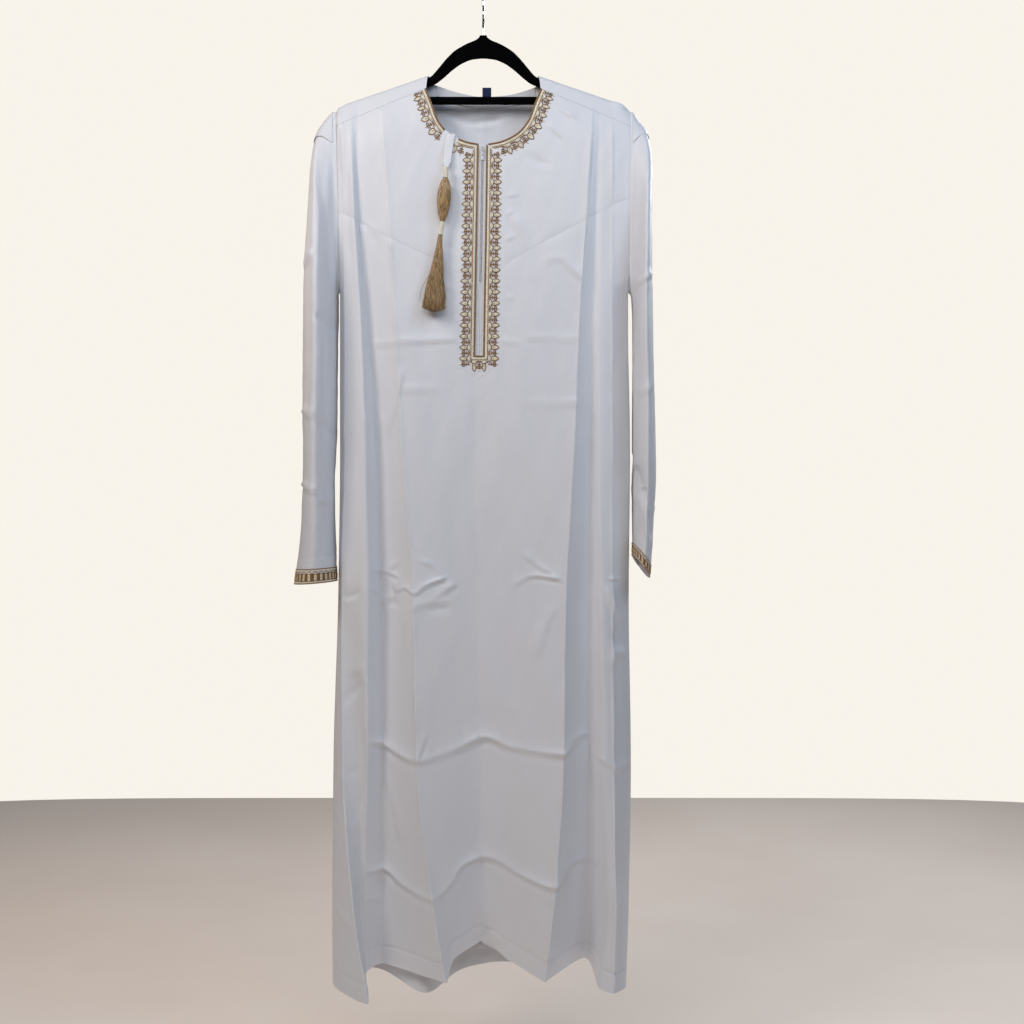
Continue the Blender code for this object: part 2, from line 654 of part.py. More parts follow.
def cuff_band(name, rings, side, collection, material):
    """The braid round the wrist, laid on the end of the sleeve."""
    rows = 3
    end = len(rings) - 1.0
    grid = []
    for i in range(SLEEVE_SIDES):
        angle = 2.0 * math.pi * i / SLEEVE_SIDES
        places = [between(CUFF_BAND_START, end, j / (rows - 1.0)) for j in range(rows)]
        grid.append([tuple(sleeve_point(rings, place, angle, GAP + TRIM)) for place in places])
    return sheet_object(name, grid, collection, material, TRIM, closed=True, flip=side > 0)


def sleeve_cap(name, rings, side, collection, material):
    """The pointed patch over the head of each sleeve."""
    columns = 11
    rows = 5
    grid = []
    for i in range(columns):
        turned = 2.0 * i / (columns - 1.0) - 1.0
        angle = math.radians(CAP_HALF_ANGLE) * turned
        reach = CAP_START + 0.2 + (CAP_REACH - CAP_START - 0.2) * (1.0 - turned * turned)
        places = [between(CAP_START, reach, j / (rows - 1.0)) for j in range(rows)]
        grid.append([tuple(sleeve_point(rings, place, angle, CAP_LIFT + TRIM)) for place in places])
    return sheet_object(name, grid, collection, material, TRIM, flip=side > 0)


def scallop(length):
    """How far the braid's outer edge draws in between two points of its edging."""
    return SCALLOP_DEPTH * (1.0 - abs(math.sin(math.pi * length / SCALLOP_PITCH)))


def braid_grid(edge, outward):
    """Grid of a band from its inner edge points; outward gives the way across at each of them."""
    rows = 3
    lengths = [0.0]
    for start, end in zip(edge, edge[1:]):
        lengths.append(lengths[-1] + math.hypot(end[0] - start[0], end[1] - start[1]))
    grid = []
    for (x, drop), (across, down), length in zip(edge, outward, lengths):
        width = BRAID_WIDTH - scallop(length)
        column = []
        for j in range(rows):
            reach = width * j / (rows - 1.0)
            column.append(tuple(front_point(x + across * reach, drop + down * reach, BRAID_LIFT + TRIM)))
        grid.append(column)
    return grid


def neck_braid(name, side, start, end, collection, material):
    """Braid along a share of the front neckline, from the shoulder seam towards the slit."""
    count = max(int(42 * (end - start)), 8)
    fine = neck_points(side, 121)
    edge = []
    outward = []
    for i in range(count + 1):
        place = between(start, end, i / count) * 120.0
        k = min(int(place), 119)
        x = between(fine[k][0], fine[k + 1][0], place - k)
        drop = between(fine[k][1], fine[k + 1][1], place - k)
        along = Vector((fine[k + 1][0] - fine[k][0], fine[k + 1][1] - fine[k][1])).normalized()
        out = Vector((along.y, -along.x)) * side
        if out.y < 0.0:
            out.negate()
        leaning = smooth_step(1.0 - place / 14.0)
        seam = Vector((side * 0.91, 0.42))
        out = (out * (1.0 - leaning) + seam * leaning).normalized()
        upright = smooth_step((place - 120.0 * TAB_GAP[1] + 8.0) / 8.0)
        out = (out * (1.0 - upright) + Vector((0.0, 1.0)) * upright).normalized()
        edge.append((x, drop))
        outward.append(tuple(out))
    grid = braid_grid(edge, outward)
    return sheet_object(name, grid, collection, material, TRIM, flip=side > 0)


def slit_x(side, drop):
    return smooth_value(LEVELS, FRONT_FOLDS[SLIT_LEFT if side < 0 else SLIT_RIGHT].x, drop)


def slit_braid(name, side, collection, material):
    """Braid down one edge of the zip slit."""
    top = NECKLINE[0][1] + 0.5
    bottom = SLIT_BOTTOM
    count = 76
    rows = 2
    grid = []
    for i in range(count + 1):
        drop = between(top, bottom, i / count)
        inner = slit_x(side, drop)
        width = BRAID_WIDTH - scallop(drop - top)
        column = []
        for j in range(rows):
            x = inner + side * width * j / (rows - 1.0)
            column.append(tuple(front_point(x, drop, GAP + TRIM)))
        grid.append(column)
    return sheet_object(name, grid, collection, material, TRIM, flip=side > 0)


def slit_foot(collection, material):
    """Braid across the bottom of the slit, scalloped along its lower edge."""
    columns = 25
    rows = 2
    top = SLIT_BOTTOM + GAP
    left = slit_x(-1, SLIT_BOTTOM) - BRAID_WIDTH + SCALLOP_DEPTH / 2.0
    right = slit_x(1, SLIT_BOTTOM) + BRAID_WIDTH - SCALLOP_DEPTH / 2.0
    grid = []
    for i in range(columns):
        x = between(left, right, i / (columns - 1.0))
        depth = BRAID_WIDTH - scallop(x - left)
        column = [tuple(front_point(x, top + depth * j / (rows - 1.0), GAP + TRIM)) for j in range(rows)]
        grid.append(column)
    return sheet_object("placket_trim_foot", grid, collection, material, TRIM)


def zip_tape(name, side, collection, material):
    """One half of the zip, behind the edge of the slit, with a thin line between the two halves."""
    rows = 12
    grid = []
    for i in range(3):
        column = []
        for j in range(rows):
            drop = between(TAPE_TOP, TAPE_BOTTOM, j / (rows - 1.0))
            middle = (slit_x(-1, drop) + slit_x(1, drop)) / 2.0
            edge = slit_x(side, drop) + side * TAPE_LAP
            x = between(middle + side * GAP / 2.0, edge, i / 2.0)
            column.append(tuple(front_point(x, drop, -CLOTH - GAP)))
        grid.append(column)
    return sheet_object(name, grid, collection, material, TAPE, flip=side < 0)


def box_object(name, low, high, collection, material, bevel=0.0):
    """A box between two corners, in millimetres, with rounded edges."""
    bpy.ops.mesh.primitive_cube_add(size=1.0)
    obj = bpy.context.object
    obj.name = name
    size = [(high[k] - low[k]) * MM for k in range(3)]
    place = [(high[k] + low[k]) / 2.0 * MM for k in range(3)]
    for vertex in obj.data.vertices:
        vertex.co = Vector([vertex.co[k] * size[k] + place[k] for k in range(3)])
    if bevel:
        modifier = obj.modifiers.new("rounded", "BEVEL")
        modifier.width = bevel * MM
        modifier.segments = 2
    return keep(obj, collection, material)


def slider_place():
    """The middle of the slider's back face, which rides on the front of the tapes."""
    x = (slit_x(-1, SLIDER_DROP) + slit_x(1, SLIDER_DROP)) / 2.0
    skin = front_point(x, SLIDER_DROP, -CLOTH - GAP)
    return Vector((x, skin.y - GAP, -SLIDER_DROP))


def pull_axis():
    """The line about which the pull turns, inside the slider's bail."""
    place = slider_place()
    return Vector((place.x, place.y - SLIDER_SIZE[1] - BAIL_HEIGHT / 2.0, place.z))


def zip_slider(collection, helpers, material):
    """The slider's body with an arched bail on its front."""
    place = slider_place()
    half = SLIDER_SIZE[0] / 2.0
    tall = SLIDER_SIZE[2] / 2.0
    face = place.y - SLIDER_SIZE[1]
    body = box_object("zip_slider", (place.x - half, face, place.z - tall),
                      (place.x + half, place.y, place.z + tall), collection, material, 0.7)
    wire = BAIL_WIRE / 2.0
    reach = BAIL_LENGTH / 2.0
    arch = box_object("bail_block", (place.x - wire, face - BAIL_HEIGHT - BAIL_WIRE, place.z - reach),
                      (place.x + wire, face + 0.5, place.z + reach), helpers, material)
    eye = box_object("bail_eye", (place.x - 2.0, face - BAIL_HEIGHT, place.z - reach + BAIL_WIRE),
                     (place.x + 2.0, face, place.z + reach - BAIL_WIRE), helpers, material)
    cut = arch.modifiers.new("eye", "BOOLEAN")
    cut.operation = "DIFFERENCE"
    cut.object = eye
    join = body.modifiers.new("bail", "BOOLEAN")
    join.operation = "UNION"
    join.object = arch
    for helper in (arch, eye):
        helper.hide_render = True
        helper.display_type = "WIRE"
    return body


def zip_pull(collection, helpers, material):
    """The pull: a flat tab whose window hangs on the bail, with its origin on the axis it turns about."""
    axis = pull_axis()
    half = PULL_WIDTH / 2.0
    thick = PULL_THICKNESS / 2.0
    low = (axis.x - half, axis.y - thick, axis.z - PULL_LENGTH)
    high = (axis.x + half, axis.y + thick, axis.z + PULL_RAIL / 2.0)
    pull = box_object("zip_pull", low, high, collection, material, 0.15)
    window = box_object("pull_window", (axis.x - half + 0.8, axis.y - 2.0, axis.z - PULL_WINDOW),
                        (axis.x + half - 0.8, axis.y + 2.0, axis.z - PULL_RAIL / 2.0), helpers, material)
    cut = pull.modifiers.new("window", "BOOLEAN")
    cut.operation = "DIFFERENCE"
    cut.object = window
    window.hide_render = True
    window.display_type = "WIRE"
    shift = axis * MM
    for vertex in pull.data.vertices:
        vertex.co -= shift
    pull.location = shift
    return pull


def tassel_tab(collection, material):
    """The flat cloth loop that carries the tassel from the neckline."""
    rows = 10
    places = [p[1] for p in TAB_PATH]
    grid = []
    for i in range(4):
        column = []
        for j in range(rows):
            share = j / (rows - 1.0)
            drop = between(places[0], places[-1], share)
            x = smooth_value(places, [p[0] for p in TAB_PATH], drop)
            lift = smooth_value(places, [p[2] for p in TAB_PATH], drop)
            width = between(TAB_WIDTH[0], TAB_WIDTH[1], share)
            column.append(tuple(front_point(x + width * (i / 3.0 - 0.5), drop, lift)))
        grid.append(column)
    return sheet_object("tassel_tab", grid, collection, material, TAB_THICKNESS)


def turned_on_path(name, start, end, profile, flatness, collection, material, sides=16):
    """A turned piece between two points, its profile as (radius, share of the length)."""
    axis = Vector(end) - Vector(start)
    down = axis.normalized()
    across = Vector((0.0, 1.0, 0.0)).cross(down).normalized()
    deep = down.cross(across).normalized()
    mesh = bmesh.new()
    rings = []
    for radius, share in profile:
        ring = []
        for i in range(sides):
            angle = 2.0 * math.pi * i / sides
            point = Vector(start) + axis * share + across * (radius * math.cos(angle))
            point += deep * (radius * flatness * math.sin(angle))
            ring.append(mesh.verts.new(point * MM))
        rings.append(ring)
    for upper, lower in zip(rings, rings[1:]):
        for i in range(sides):
            k = (i + 1) % sides
            mesh.faces.new((upper[i], upper[k], lower[k], lower[i]))
    mesh.faces.new(rings[0])
    mesh.faces.new(rings[-1])
    bmesh.ops.recalc_face_normals(mesh, faces=mesh.faces)
    data = bpy.data.meshes.new(name)
    mesh.to_mesh(data)
    mesh.free()
    obj = bpy.data.objects.new(name, data)
    bpy.context.scene.collection.objects.link(obj)
    data.shade_smooth()
    data.set_sharp_from_angle(angle=math.radians(50))
    return keep(obj, collection, material)


def tassel_point(index):
    x, y, drop = TASSEL_PATH[index]
    return (x, y, -drop)


def tassel(collection, materials):
    """Wrapped neck, bulb of thread and second wrapped neck, one below the other."""
    names = ("tassel_collar_upper", "tassel_bulb", "tassel_collar_lower")
    straight = [((radius, 0.0), (radius, 1.0)) for radius in COLLAR_RADIUS]
    profiles = (straight[0], BULB_PROFILE, straight[1])
    flatness = (1.0, BULB_FLATNESS, 1.0)
    looks = (materials["cream"], materials["thread"], materials["cream"])
    for index, name in enumerate(names):
        start = Vector(tassel_point(index))
        end = Vector(tassel_point(index + 1))
        end -= (end - start).normalized() * GAP
        material = looks[index].copy()
        material.name = name
        turned_on_path(name, start, end, profiles[index], flatness[index], collection, material)


def tassel_brush(collection, material):
    """The brush: a square grid of locks, grown out of one head and spreading towards their ends."""
    start = Vector(tassel_point(3))
    end = Vector(tassel_point(4))
    down = (end - start).normalized()
    across = Vector((0.0, 1.0, 0.0)).cross(down).normalized()
    deep = down.cross(across).normalized()
    wide, thick = BRUSH_GRID
    mesh = bmesh.new()
    root = start + down * BRUSH_HEAD

    def cell_corner(i, j):
        a = 2.0 * i / wide - 1.0
        b = 2.0 * j / thick - 1.0
        bow_a = a * math.sqrt(1.0 - 0.4 * b * b)
        bow_b = b * math.sqrt(1.0 - 0.4 * a * a)
        return bow_a, bow_b

    lower = {}
    for i in range(wide + 1):
        for j in range(thick + 1):
            a, b = cell_corner(i, j)
            point = root + across * (a * (BRUSH_HALF_TOP[0] + 1.6)) + deep * (b * (BRUSH_HALF_TOP[1] + 0.6))
            lower[i, j] = mesh.verts.new(point * MM)
    cells = []
    for i in range(wide):
        for j in range(thick):
            cells.append(mesh.faces.new((lower[i, j], lower[i + 1, j], lower[i + 1, j + 1], lower[i, j + 1])))
    edge = [(i, 0) for i in range(wide)] + [(wide, j) for j in range(thick)]
    edge += [(i, thick) for i in range(wide, 0, -1)] + [(0, j) for j in range(thick, 0, -1)]
    top = {}
    for i, j in edge:
        a, b = cell_corner(i, j)
        point = start + across * (a * BRUSH_HALF_TOP[0]) + deep * (b * BRUSH_HALF_TOP[1])
        top[i, j] = mesh.verts.new(point * MM)
    for here, there in zip(edge, edge[1:] + edge[:1]):
        mesh.faces.new((lower[here], top[here], top[there], lower[there]))
    mesh.faces.new([top[key] for key in edge])
    mesh.normal_update()
    bmesh.ops.inset_individual(mesh, faces=cells, thickness=0.12 * MM)
    span = (end - root).length
    for index, cell in enumerate(cells):
        middle = cell.calc_center_median() / MM - root
        a = middle.dot(across) / (BRUSH_HALF_TOP[0] + 1.6)
        b = middle.dot(deep) / (BRUSH_HALF_TOP[1] + 0.6)
        ragged = 1.0 - 0.04 * ((index * 7) % 5) / 4.0 - 0.04 * abs(a)
        face = cell
        for step in range(1, BRUSH_STEPS + 1):
            share = step / BRUSH_STEPS
            grown = bmesh.ops.extrude_discrete_faces(mesh, faces=[face])
            face = grown["faces"][0]
            spread = share ** 0.8
            half_x = between(BRUSH_HALF_TOP[0] + 1.6, BRUSH_HALF_END[0], spread)
            half_y = between(BRUSH_HALF_TOP[1] + 0.6, BRUSH_HALF_END[1], spread)
            target = root + down * (span * share * ragged) + across * (a * half_x) + deep * (b * half_y)
            centre = face.calc_center_median()
            size = 1.2 if step < BRUSH_STEPS else 0.8
            for vertex in face.verts:
                vertex.co = target * MM + (vertex.co - centre) * size
    bmesh.ops.recalc_face_normals(mesh, faces=mesh.faces)
    data = bpy.data.meshes.new("tassel_brush")
    mesh.to_mesh(data)
    mesh.free()
    obj = bpy.data.objects.new("tassel_brush", data)
    bpy.context.scene.collection.objects.link(obj)
    return keep(obj, collection, material)


def label(collection, material):
    """The plain woven label that stands above the back of the neck, sewn inside it."""
    x = (LABEL_X[0] + LABEL_X[1]) / 2.0
    y = depth_at(BACK_FOLDS, x, 157.0, 1) - CLOTH - GAP
    return box_object("neck_label", (LABEL_X[0], y - LABEL_THICKNESS, -LABEL_DROP[1]),
                      (LABEL_X[1], y, -LABEL_DROP[0]), collection, material)


def mirrored(points):
    """A right-hand outline from the middle, carried on round the left."""
    return [(-x, drop) for x, drop in reversed(points) if x > 0.01]


def hanger(collection, material):
    """The flat velvet hanger: arch, arms and bar in one outline, with the gap above the bar open."""
    right = list(HANGER_TOP) + list(HANGER_TIP) + list(HANGER_ARM_BELOW)
    outer = mirrored(right) + right
    hole = list(HANGER_HOLE) + mirrored(HANGER_HOLE)
    curve = bpy.data.curves.new("hanger", "CURVE")
    curve.dimensions = "2D"
    curve.fill_mode = "BOTH"
    curve.extrude = HANGER_HALF * MM
    for outline in (outer, hole):
        spline = curve.splines.new("POLY")
        spline.points.add(len(outline) - 1)
        for point, (x, drop) in zip(spline.points, outline):
            point.co = (x * MM, -drop * MM, 0.0, 1.0)
        spline.use_cyclic_u = True
    holder = bpy.data.objects.new("hanger_outline", curve)
    bpy.context.scene.collection.objects.link(holder)
    bpy.context.view_layer.update()
    mesh = bpy.data.meshes.new_from_object(holder.evaluated_get(bpy.context.evaluated_depsgraph_get()))
    bpy.data.objects.remove(holder)
    mesh.name = "hanger"
    shape = bmesh.new()
    shape.from_mesh(mesh)
    bmesh.ops.remove_doubles(shape, verts=shape.verts, dist=0.00001)
    for vertex in shape.verts:
        vertex.co = Vector((vertex.co.x, -vertex.co.z, vertex.co.y))
    bmesh.ops.recalc_face_normals(shape, faces=shape.faces)
    shape.to_mesh(mesh)
    shape.free()
    obj = bpy.data.objects.new("hanger", mesh)
    bpy.context.scene.collection.objects.link(obj)
    modifier = obj.modifiers.new("rounded", "BEVEL")
    modifier.width = HANGER_BEVEL * MM
    modifier.segments = 2
    modifier.limit_method = "ANGLE"
    modifier.angle_limit = math.radians(60)
    mesh.shade_smooth()
    return keep(obj, collection, material)


def hook(collection, material):
    """The bent wire hook, edge on to the front: a stem, an offset and three quarters of a circle."""
    middle = HOOK_INNER + WIRE_RADIUS
    centre = -HOOK_INNER
    seat = HANGER_TOP[0][1] - GAP
    points = [(0.0, -seat), (0.0, -57.0), (0.3, -52.5), (1.6, -47.8), (4.6, -43.2)]
    steps = int((HOOK_END - HOOK_START) / HOOK_STEP) + 1
    for i in range(steps + 1):
        angle = math.radians(between(HOOK_START, HOOK_END, i / steps))
        points.append((middle * math.cos(angle), centre + middle * math.sin(angle)))
    curve = bpy.data.curves.new("hook", "CURVE")
    curve.dimensions = "3D"
    curve.bevel_depth = WIRE_RADIUS * MM
    curve.bevel_resolution = 2
    curve.use_fill_caps = True
    spline = curve.splines.new("POLY")
    spline.points.add(len(points) - 1)
    for point, (y, z) in zip(spline.points, points):
        point.co = (0.0, y * MM, z * MM, 1.0)
    obj = bpy.data.objects.new("hook", curve)
    bpy.context.scene.collection.objects.link(obj)
    return keep(obj, collection, material)


def clear_scene():
    for obj in list(bpy.data.objects):
        bpy.data.objects.remove(obj)


def build():
    clear_scene()
    robe = bpy.data.collections.new("thobe_robe_on_hanger")
    helpers = bpy.data.collections.new("cutters")
    bpy.context.scene.collection.children.link(robe)
    bpy.context.scene.collection.children.link(helpers)
    lower_front(robe, WHITE_CLOTH)
    back_body(robe, WHITE_CLOTH)
    for word, side, rings in (("left", -1, LEFT_SLEEVE), ("right", 1, RIGHT_SLEEVE)):
        front_yoke("front_yoke_" + word, side, robe, make_material("yoke_cloth_" + word, WHITE_CLOTH))
        shoulder_strip("shoulder_" + word, side, robe, make_material("shoulder_cloth_" + word, WHITE_CLOTH))
        sleeve(word, rings, side, robe, WHITE_CLOTH)
        cuff_band("cuff_trim_" + word, rings, side, robe, make_material("cuff_braid_" + word, BRAID))
        sleeve_cap("sleeve_cap_" + word, rings, side, robe, make_material("cap_cloth_" + word, WHITE_CLOTH))
        slit_braid("placket_trim_" + word, side, robe, make_material("slit_braid_" + word, BRAID))
        zip_tape("zip_tape_" + word, side, robe, make_material("tape_" + word, WHITE_CLOTH))
    neck_braid("neck_trim_left", -1, 0.0, TAB_GAP[0], robe, make_material("neck_braid_left", BRAID))
    neck_braid("neck_trim_left_front", -1, TAB_GAP[1], NECK_BRAID_END, robe, make_material("neck_braid_front", BRAID))
    neck_braid("neck_trim_right", 1, 0.0, NECK_BRAID_END, robe, make_material("neck_braid_right", BRAID))
    slit_foot(robe, make_material("slit_braid_foot", BRAID))
    zip_slider(robe, helpers, make_material("zip_metal", CHROME))
    zip_pull(robe, helpers, make_material("pull_metal", CHROME))
    tassel_tab(robe, make_material("tab_cloth", WHITE_CLOTH))
    tassel(robe, {"cream": make_material("wrapping", CREAM), "thread": make_material("bulb_thread", THREAD)})
    tassel_brush(robe, make_material("brush_thread", THREAD))
    label(robe, make_material("label_weave", NAVY))
    hanger(robe, make_material("velvet", VELVET))
    hook(robe, make_material("hook_wire", CHROME))


build()
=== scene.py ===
"""A long white robe with brown and cream braid and a thread tassel, hung on a velvet clothes hanger."""
import math
from collections import namedtuple

import bmesh
import bpy
import numpy as np
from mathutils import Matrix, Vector


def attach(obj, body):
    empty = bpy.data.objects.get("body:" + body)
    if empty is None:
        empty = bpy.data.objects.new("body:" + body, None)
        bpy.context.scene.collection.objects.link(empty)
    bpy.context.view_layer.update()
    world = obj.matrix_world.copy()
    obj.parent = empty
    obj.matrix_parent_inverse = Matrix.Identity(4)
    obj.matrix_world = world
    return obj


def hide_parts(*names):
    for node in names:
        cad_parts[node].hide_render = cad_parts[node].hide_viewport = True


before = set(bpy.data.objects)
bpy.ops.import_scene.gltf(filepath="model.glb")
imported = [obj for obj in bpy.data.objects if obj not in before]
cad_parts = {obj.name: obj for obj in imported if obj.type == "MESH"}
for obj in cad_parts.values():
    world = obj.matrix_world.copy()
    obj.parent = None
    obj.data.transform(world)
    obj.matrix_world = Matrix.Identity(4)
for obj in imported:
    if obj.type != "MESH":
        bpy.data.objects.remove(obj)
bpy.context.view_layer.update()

MM = 0.001
GARMENT = "robe"
HANDS = ((-1, "left"), (1, "right"))

# Shoulders and armholes, in millimetres; a drop is measured down from the top of the hook
RIDGE_DROP = 127.6
RIDGE_SLOPE = 0.345
NECK_HALF = 88.0
ARM_X = 235.0
TIP_START = 215.0
TIP_WIDTH = 20.0
TIP_FALL = 7.0
RIDGE_HALF_DEPTH = 6.0
RIDGE_ROUND = 6.0
FULL_DEPTH_BELOW = 90.0
ARM_TOP = 185.0
ARM_BOTTOM = 475.0
ARM_HALF_DEPTH = 26.0
SIDE_TURN_START = 435.0
STRIP_END_DROP = 213.0
SHOULDER_SEAM_FALL = (22.0, 34.0)
BACK_SEAM_FALL = (14.0, 30.0)
SEAM = 0.16
WALL = 0.8
THIN_WALL = 0.6
TAPE_WALL = 0.7
RIM_ANGLE = 62.0

LEVELS = (150, 350, 530, 720, 960, 1220, 1450, 1570)
Fold = namedtuple("Fold", "name soft x y")
FRONT_FOLDS = tuple(Fold(*row) for row in (
    ("left_side", 0.8, (-236, -229, -229, -229, -232, -239, -240, -238), (0, 0, 0, 0, 0, -4, -12, -20)),
    ("left_flap", 0.25, (-226, -219, -218, -218, -223, -220, -201, -178), (-25, -31, -25, -24, -24, -36, -60, -76)),
    ("left_tuck", 0.7, (-218, -211, -206, -203, -206, -196, -194, -185), (-24, -33, -33, -34, -36, -28, -26, -6)),
    ("left_brow", 0.6, (-211, -203, -191, -184, -180, -182, -188, -178), (-24, -38, -43, -46, -46, -40, -24, 4)),
    ("left_valley", 0.3, (-202, -196, -184, -168, -161, -158, -159, -161), (-23, -27, -22, -18, -14, -12, -2, 8)),
    ("left_press", 0.2, (-164, -148, -136, -126, -108, -102, -76, -56), (-24, -36, -42, -46, -50, -54, -56, -52)),
    ("left_slope", 0.9, (-84, -75, -67, -59, -55, -51, -47, -43), (-24, -31, -37, -39, -40, -38, -30, -10)),
    ("slit_left", 0.9, (-5, -8, -11, -14, -12, -9, -5, -3), (-22, -30, -34, -34, -32, -24, -2, 30)),
    ("slit_right", 0.9, (6, 4, 1, -1, 2, 8, 12, 12), (-22, -30, -34, -35, -33, -25, -2, 28)),
    ("right_slope", 0.9, (43, 43, 43, 43, 43, 43, 40, 35), (-23, -31, -37, -39, -38, -32, -12, 8)),
    ("right_press", 0.2, (176, 163, 151, 143, 130, 126, 110, 96), (-23, -36, -42, -48, -52, -56, -58, -52)),
    ("right_valley", 0.5, (186, 179, 173, 171, 170, 168, 166, 162), (-22, -27, -25, -24, -22, -18, -6, 20)),
    ("right_brow", 0.6, (192, 188, 185, 184, 186, 190, 196, 182), (-22, -29, -32, -36, -40, -44, -48, -56)),
    ("right_flap", 0.3, (205, 204, 204, 204, 204, 206, 208, 204), (-22, -28, -28, -30, -34, -42, -56, -64)),
    ("right_side", 0.8, (235, 232, 232, 235, 233, 236, 232, 227), (0, 0, 0, 0, 0, -4, -10, -20)),
))
BACK_FOLDS = tuple(Fold(*row) for row in (
    ("right_side", 0.8, (235, 232, 232, 235, 233, 236, 232, 227), (0, 0, 0, 0, 0, -4, -10, -20)),
    ("back_right", 0.8, (220, 222, 222, 224, 222, 224, 222, 218), (24, 30, 26, 24, 24, 24, 22, 14)),
    ("right_swell", 0.9, (163, 166, 170, 173, 170, 167, 167, 170), (22, 33, 36, 40, 42, 46, 52, 50)),
    ("right_dip", 0.9, (99, 95, 95, 98, 101, 101, 100, 98), (22, 27, 28, 28, 27, 26, 30, 34)),
    ("centre_swell", 0.9, (7, 7, 7, 7, 7, 10, 13, 16), (21, 31, 36, 38, 40, 44, 50, 54)),
    ("left_swell", 0.9, (-60, -55, -52, -52, -49, -45, -42, -39), (21, 30, 35, 38, 42, 46, 48, 40)),
    ("left_dip", 0.7, (-128, -125, -119, -116, -109, -102, -95, -91), (22, 25, 24, 23, 20, 14, 4, -12)),
    ("flank_swell", 0.9, (-182, -181, -178, -175, -175, -176, -176, -172), (22, 31, 34, 37, 38, 40, 40, 34)),
    ("back_left", 0.8, (-222, -220, -221, -221, -224, -229, -231, -227), (24, 30, 26, 24, 24, 26, 26, 20)),
    ("left_side", 0.8, (-236, -229, -229, -229, -232, -239, -240, -238), (0, 0, 0, 0, 0, -4, -12, -20)),
))
SLIT_LEFT = 7
SLIT_RIGHT = 8
HEM_BAND = 30.0
CUFF_FACING = 44.0
HEM_RISE = 0.45
HEM_GROOVE = 0.9
HEM_CUSP = (7.0, 9.0, 0.35)
SLIT_BOTTOM = 578.5
TAB_GAP = (0.485, 0.70)

# Cut edges as (x, drop); the hems give one drop for each fold
FRONT_HEM = (1569, 1585, 1560, 1553, 1548, 1560, 1532, 1524, 1526, 1540, 1558, 1542, 1568, 1573, 1575)
BACK_HEM = (1575, 1566, 1549, 1556, 1562, 1571, 1590, 1566, 1562, 1569)
CHEST_SEAM_LEFT = ((-240, 349), (-227, 352), (-198, 366), (-145, 393), (-60, 435), (-34, 450), (-7, 461))
CHEST_SEAM_RIGHT = ((-1, 459), (22, 447), (49, 426), (164, 363), (202, 341), (229, 330), (243, 327))
NECKLINE = ((6.5, 243), (25, 239.5), (42, 233), (58.5, 221.5), (72, 203), (81, 178), (91, 152.5))
NECK_CENTRE = 0.5
BACK_NECK = ((-78, 139), (-38, 151), (0, 157), (40, 154), (59, 150), (86, 141.5))

Ring = namedtuple("Ring", "outer_x outer_drop inner_x inner_drop half_depth lean point")
LEFT_SLEEVE = tuple(Ring(*row) for row in (
    (-236, 185, -229, 475, 26, 0, 1.00),
    (-239, 185.6, -230, 475.4, 26.3, 0, 1.00),
    (-253, 201, -231, 477, 33, 0, 1.00),
    (-266, 222, -232, 480, 42, 0, 1.02),
    (-273, 252, -233, 484, 52, 0, 1.05),
    (-278, 306, -233, 492, 62, 6, 1.10),
    (-282, 370, -233, 503, 70, 12, 1.15),
    (-285, 445, -233, 521, 75, 17, 1.20),
    (-286, 530, -233, 561, 78, 20, 1.25),
    (-286, 610, -233, 612, 78, 21, 1.25),
    (-286, 700, -234, 692, 76, 21, 1.25),
    (-287, 780, -237, 776, 72, 20, 1.20),
    (-290, 850, -237, 848, 66, 20, 1.20),
    (-297, 908, -235, 905, 60, 22, 1.20),
    (-301, 940, -234, 935, 56, 24, 1.20),
))
RIGHT_SLEEVE = tuple(Ring(*row) for row in (
    (235, 185, 232, 475, 26, 0, 1.00),
    (238, 185.6, 233, 475.4, 26.3, 0, 1.00),
    (247, 200, 234.5, 477, 33, 0, 1.00),
    (260, 217, 236, 480, 42, 0, 1.02),
    (267, 246, 237, 484, 52, 0, 1.05),
    (269, 306, 238, 492, 62, 0, 1.10),
    (269, 370, 238.5, 503, 68, 2, 1.15),
    (269, 445, 239, 521, 72, 4, 1.20),
    (270, 530, 239, 561, 74, 4, 1.25),
    (272, 612, 239, 612, 74, 2, 1.25),
    (274, 700, 238.5, 688, 72, 0, 1.20),
    (275, 780, 238.5, 760, 68, 0, 1.20),
    (272, 850, 239, 815, 62, 0, 1.20),
    (268, 905, 239, 868, 56, 0, 1.20),
    (265, 930, 239, 893, 52, 0, 1.20),
))

SLEEVES = {-1: LEFT_SLEEVE, 1: RIGHT_SLEEVE}

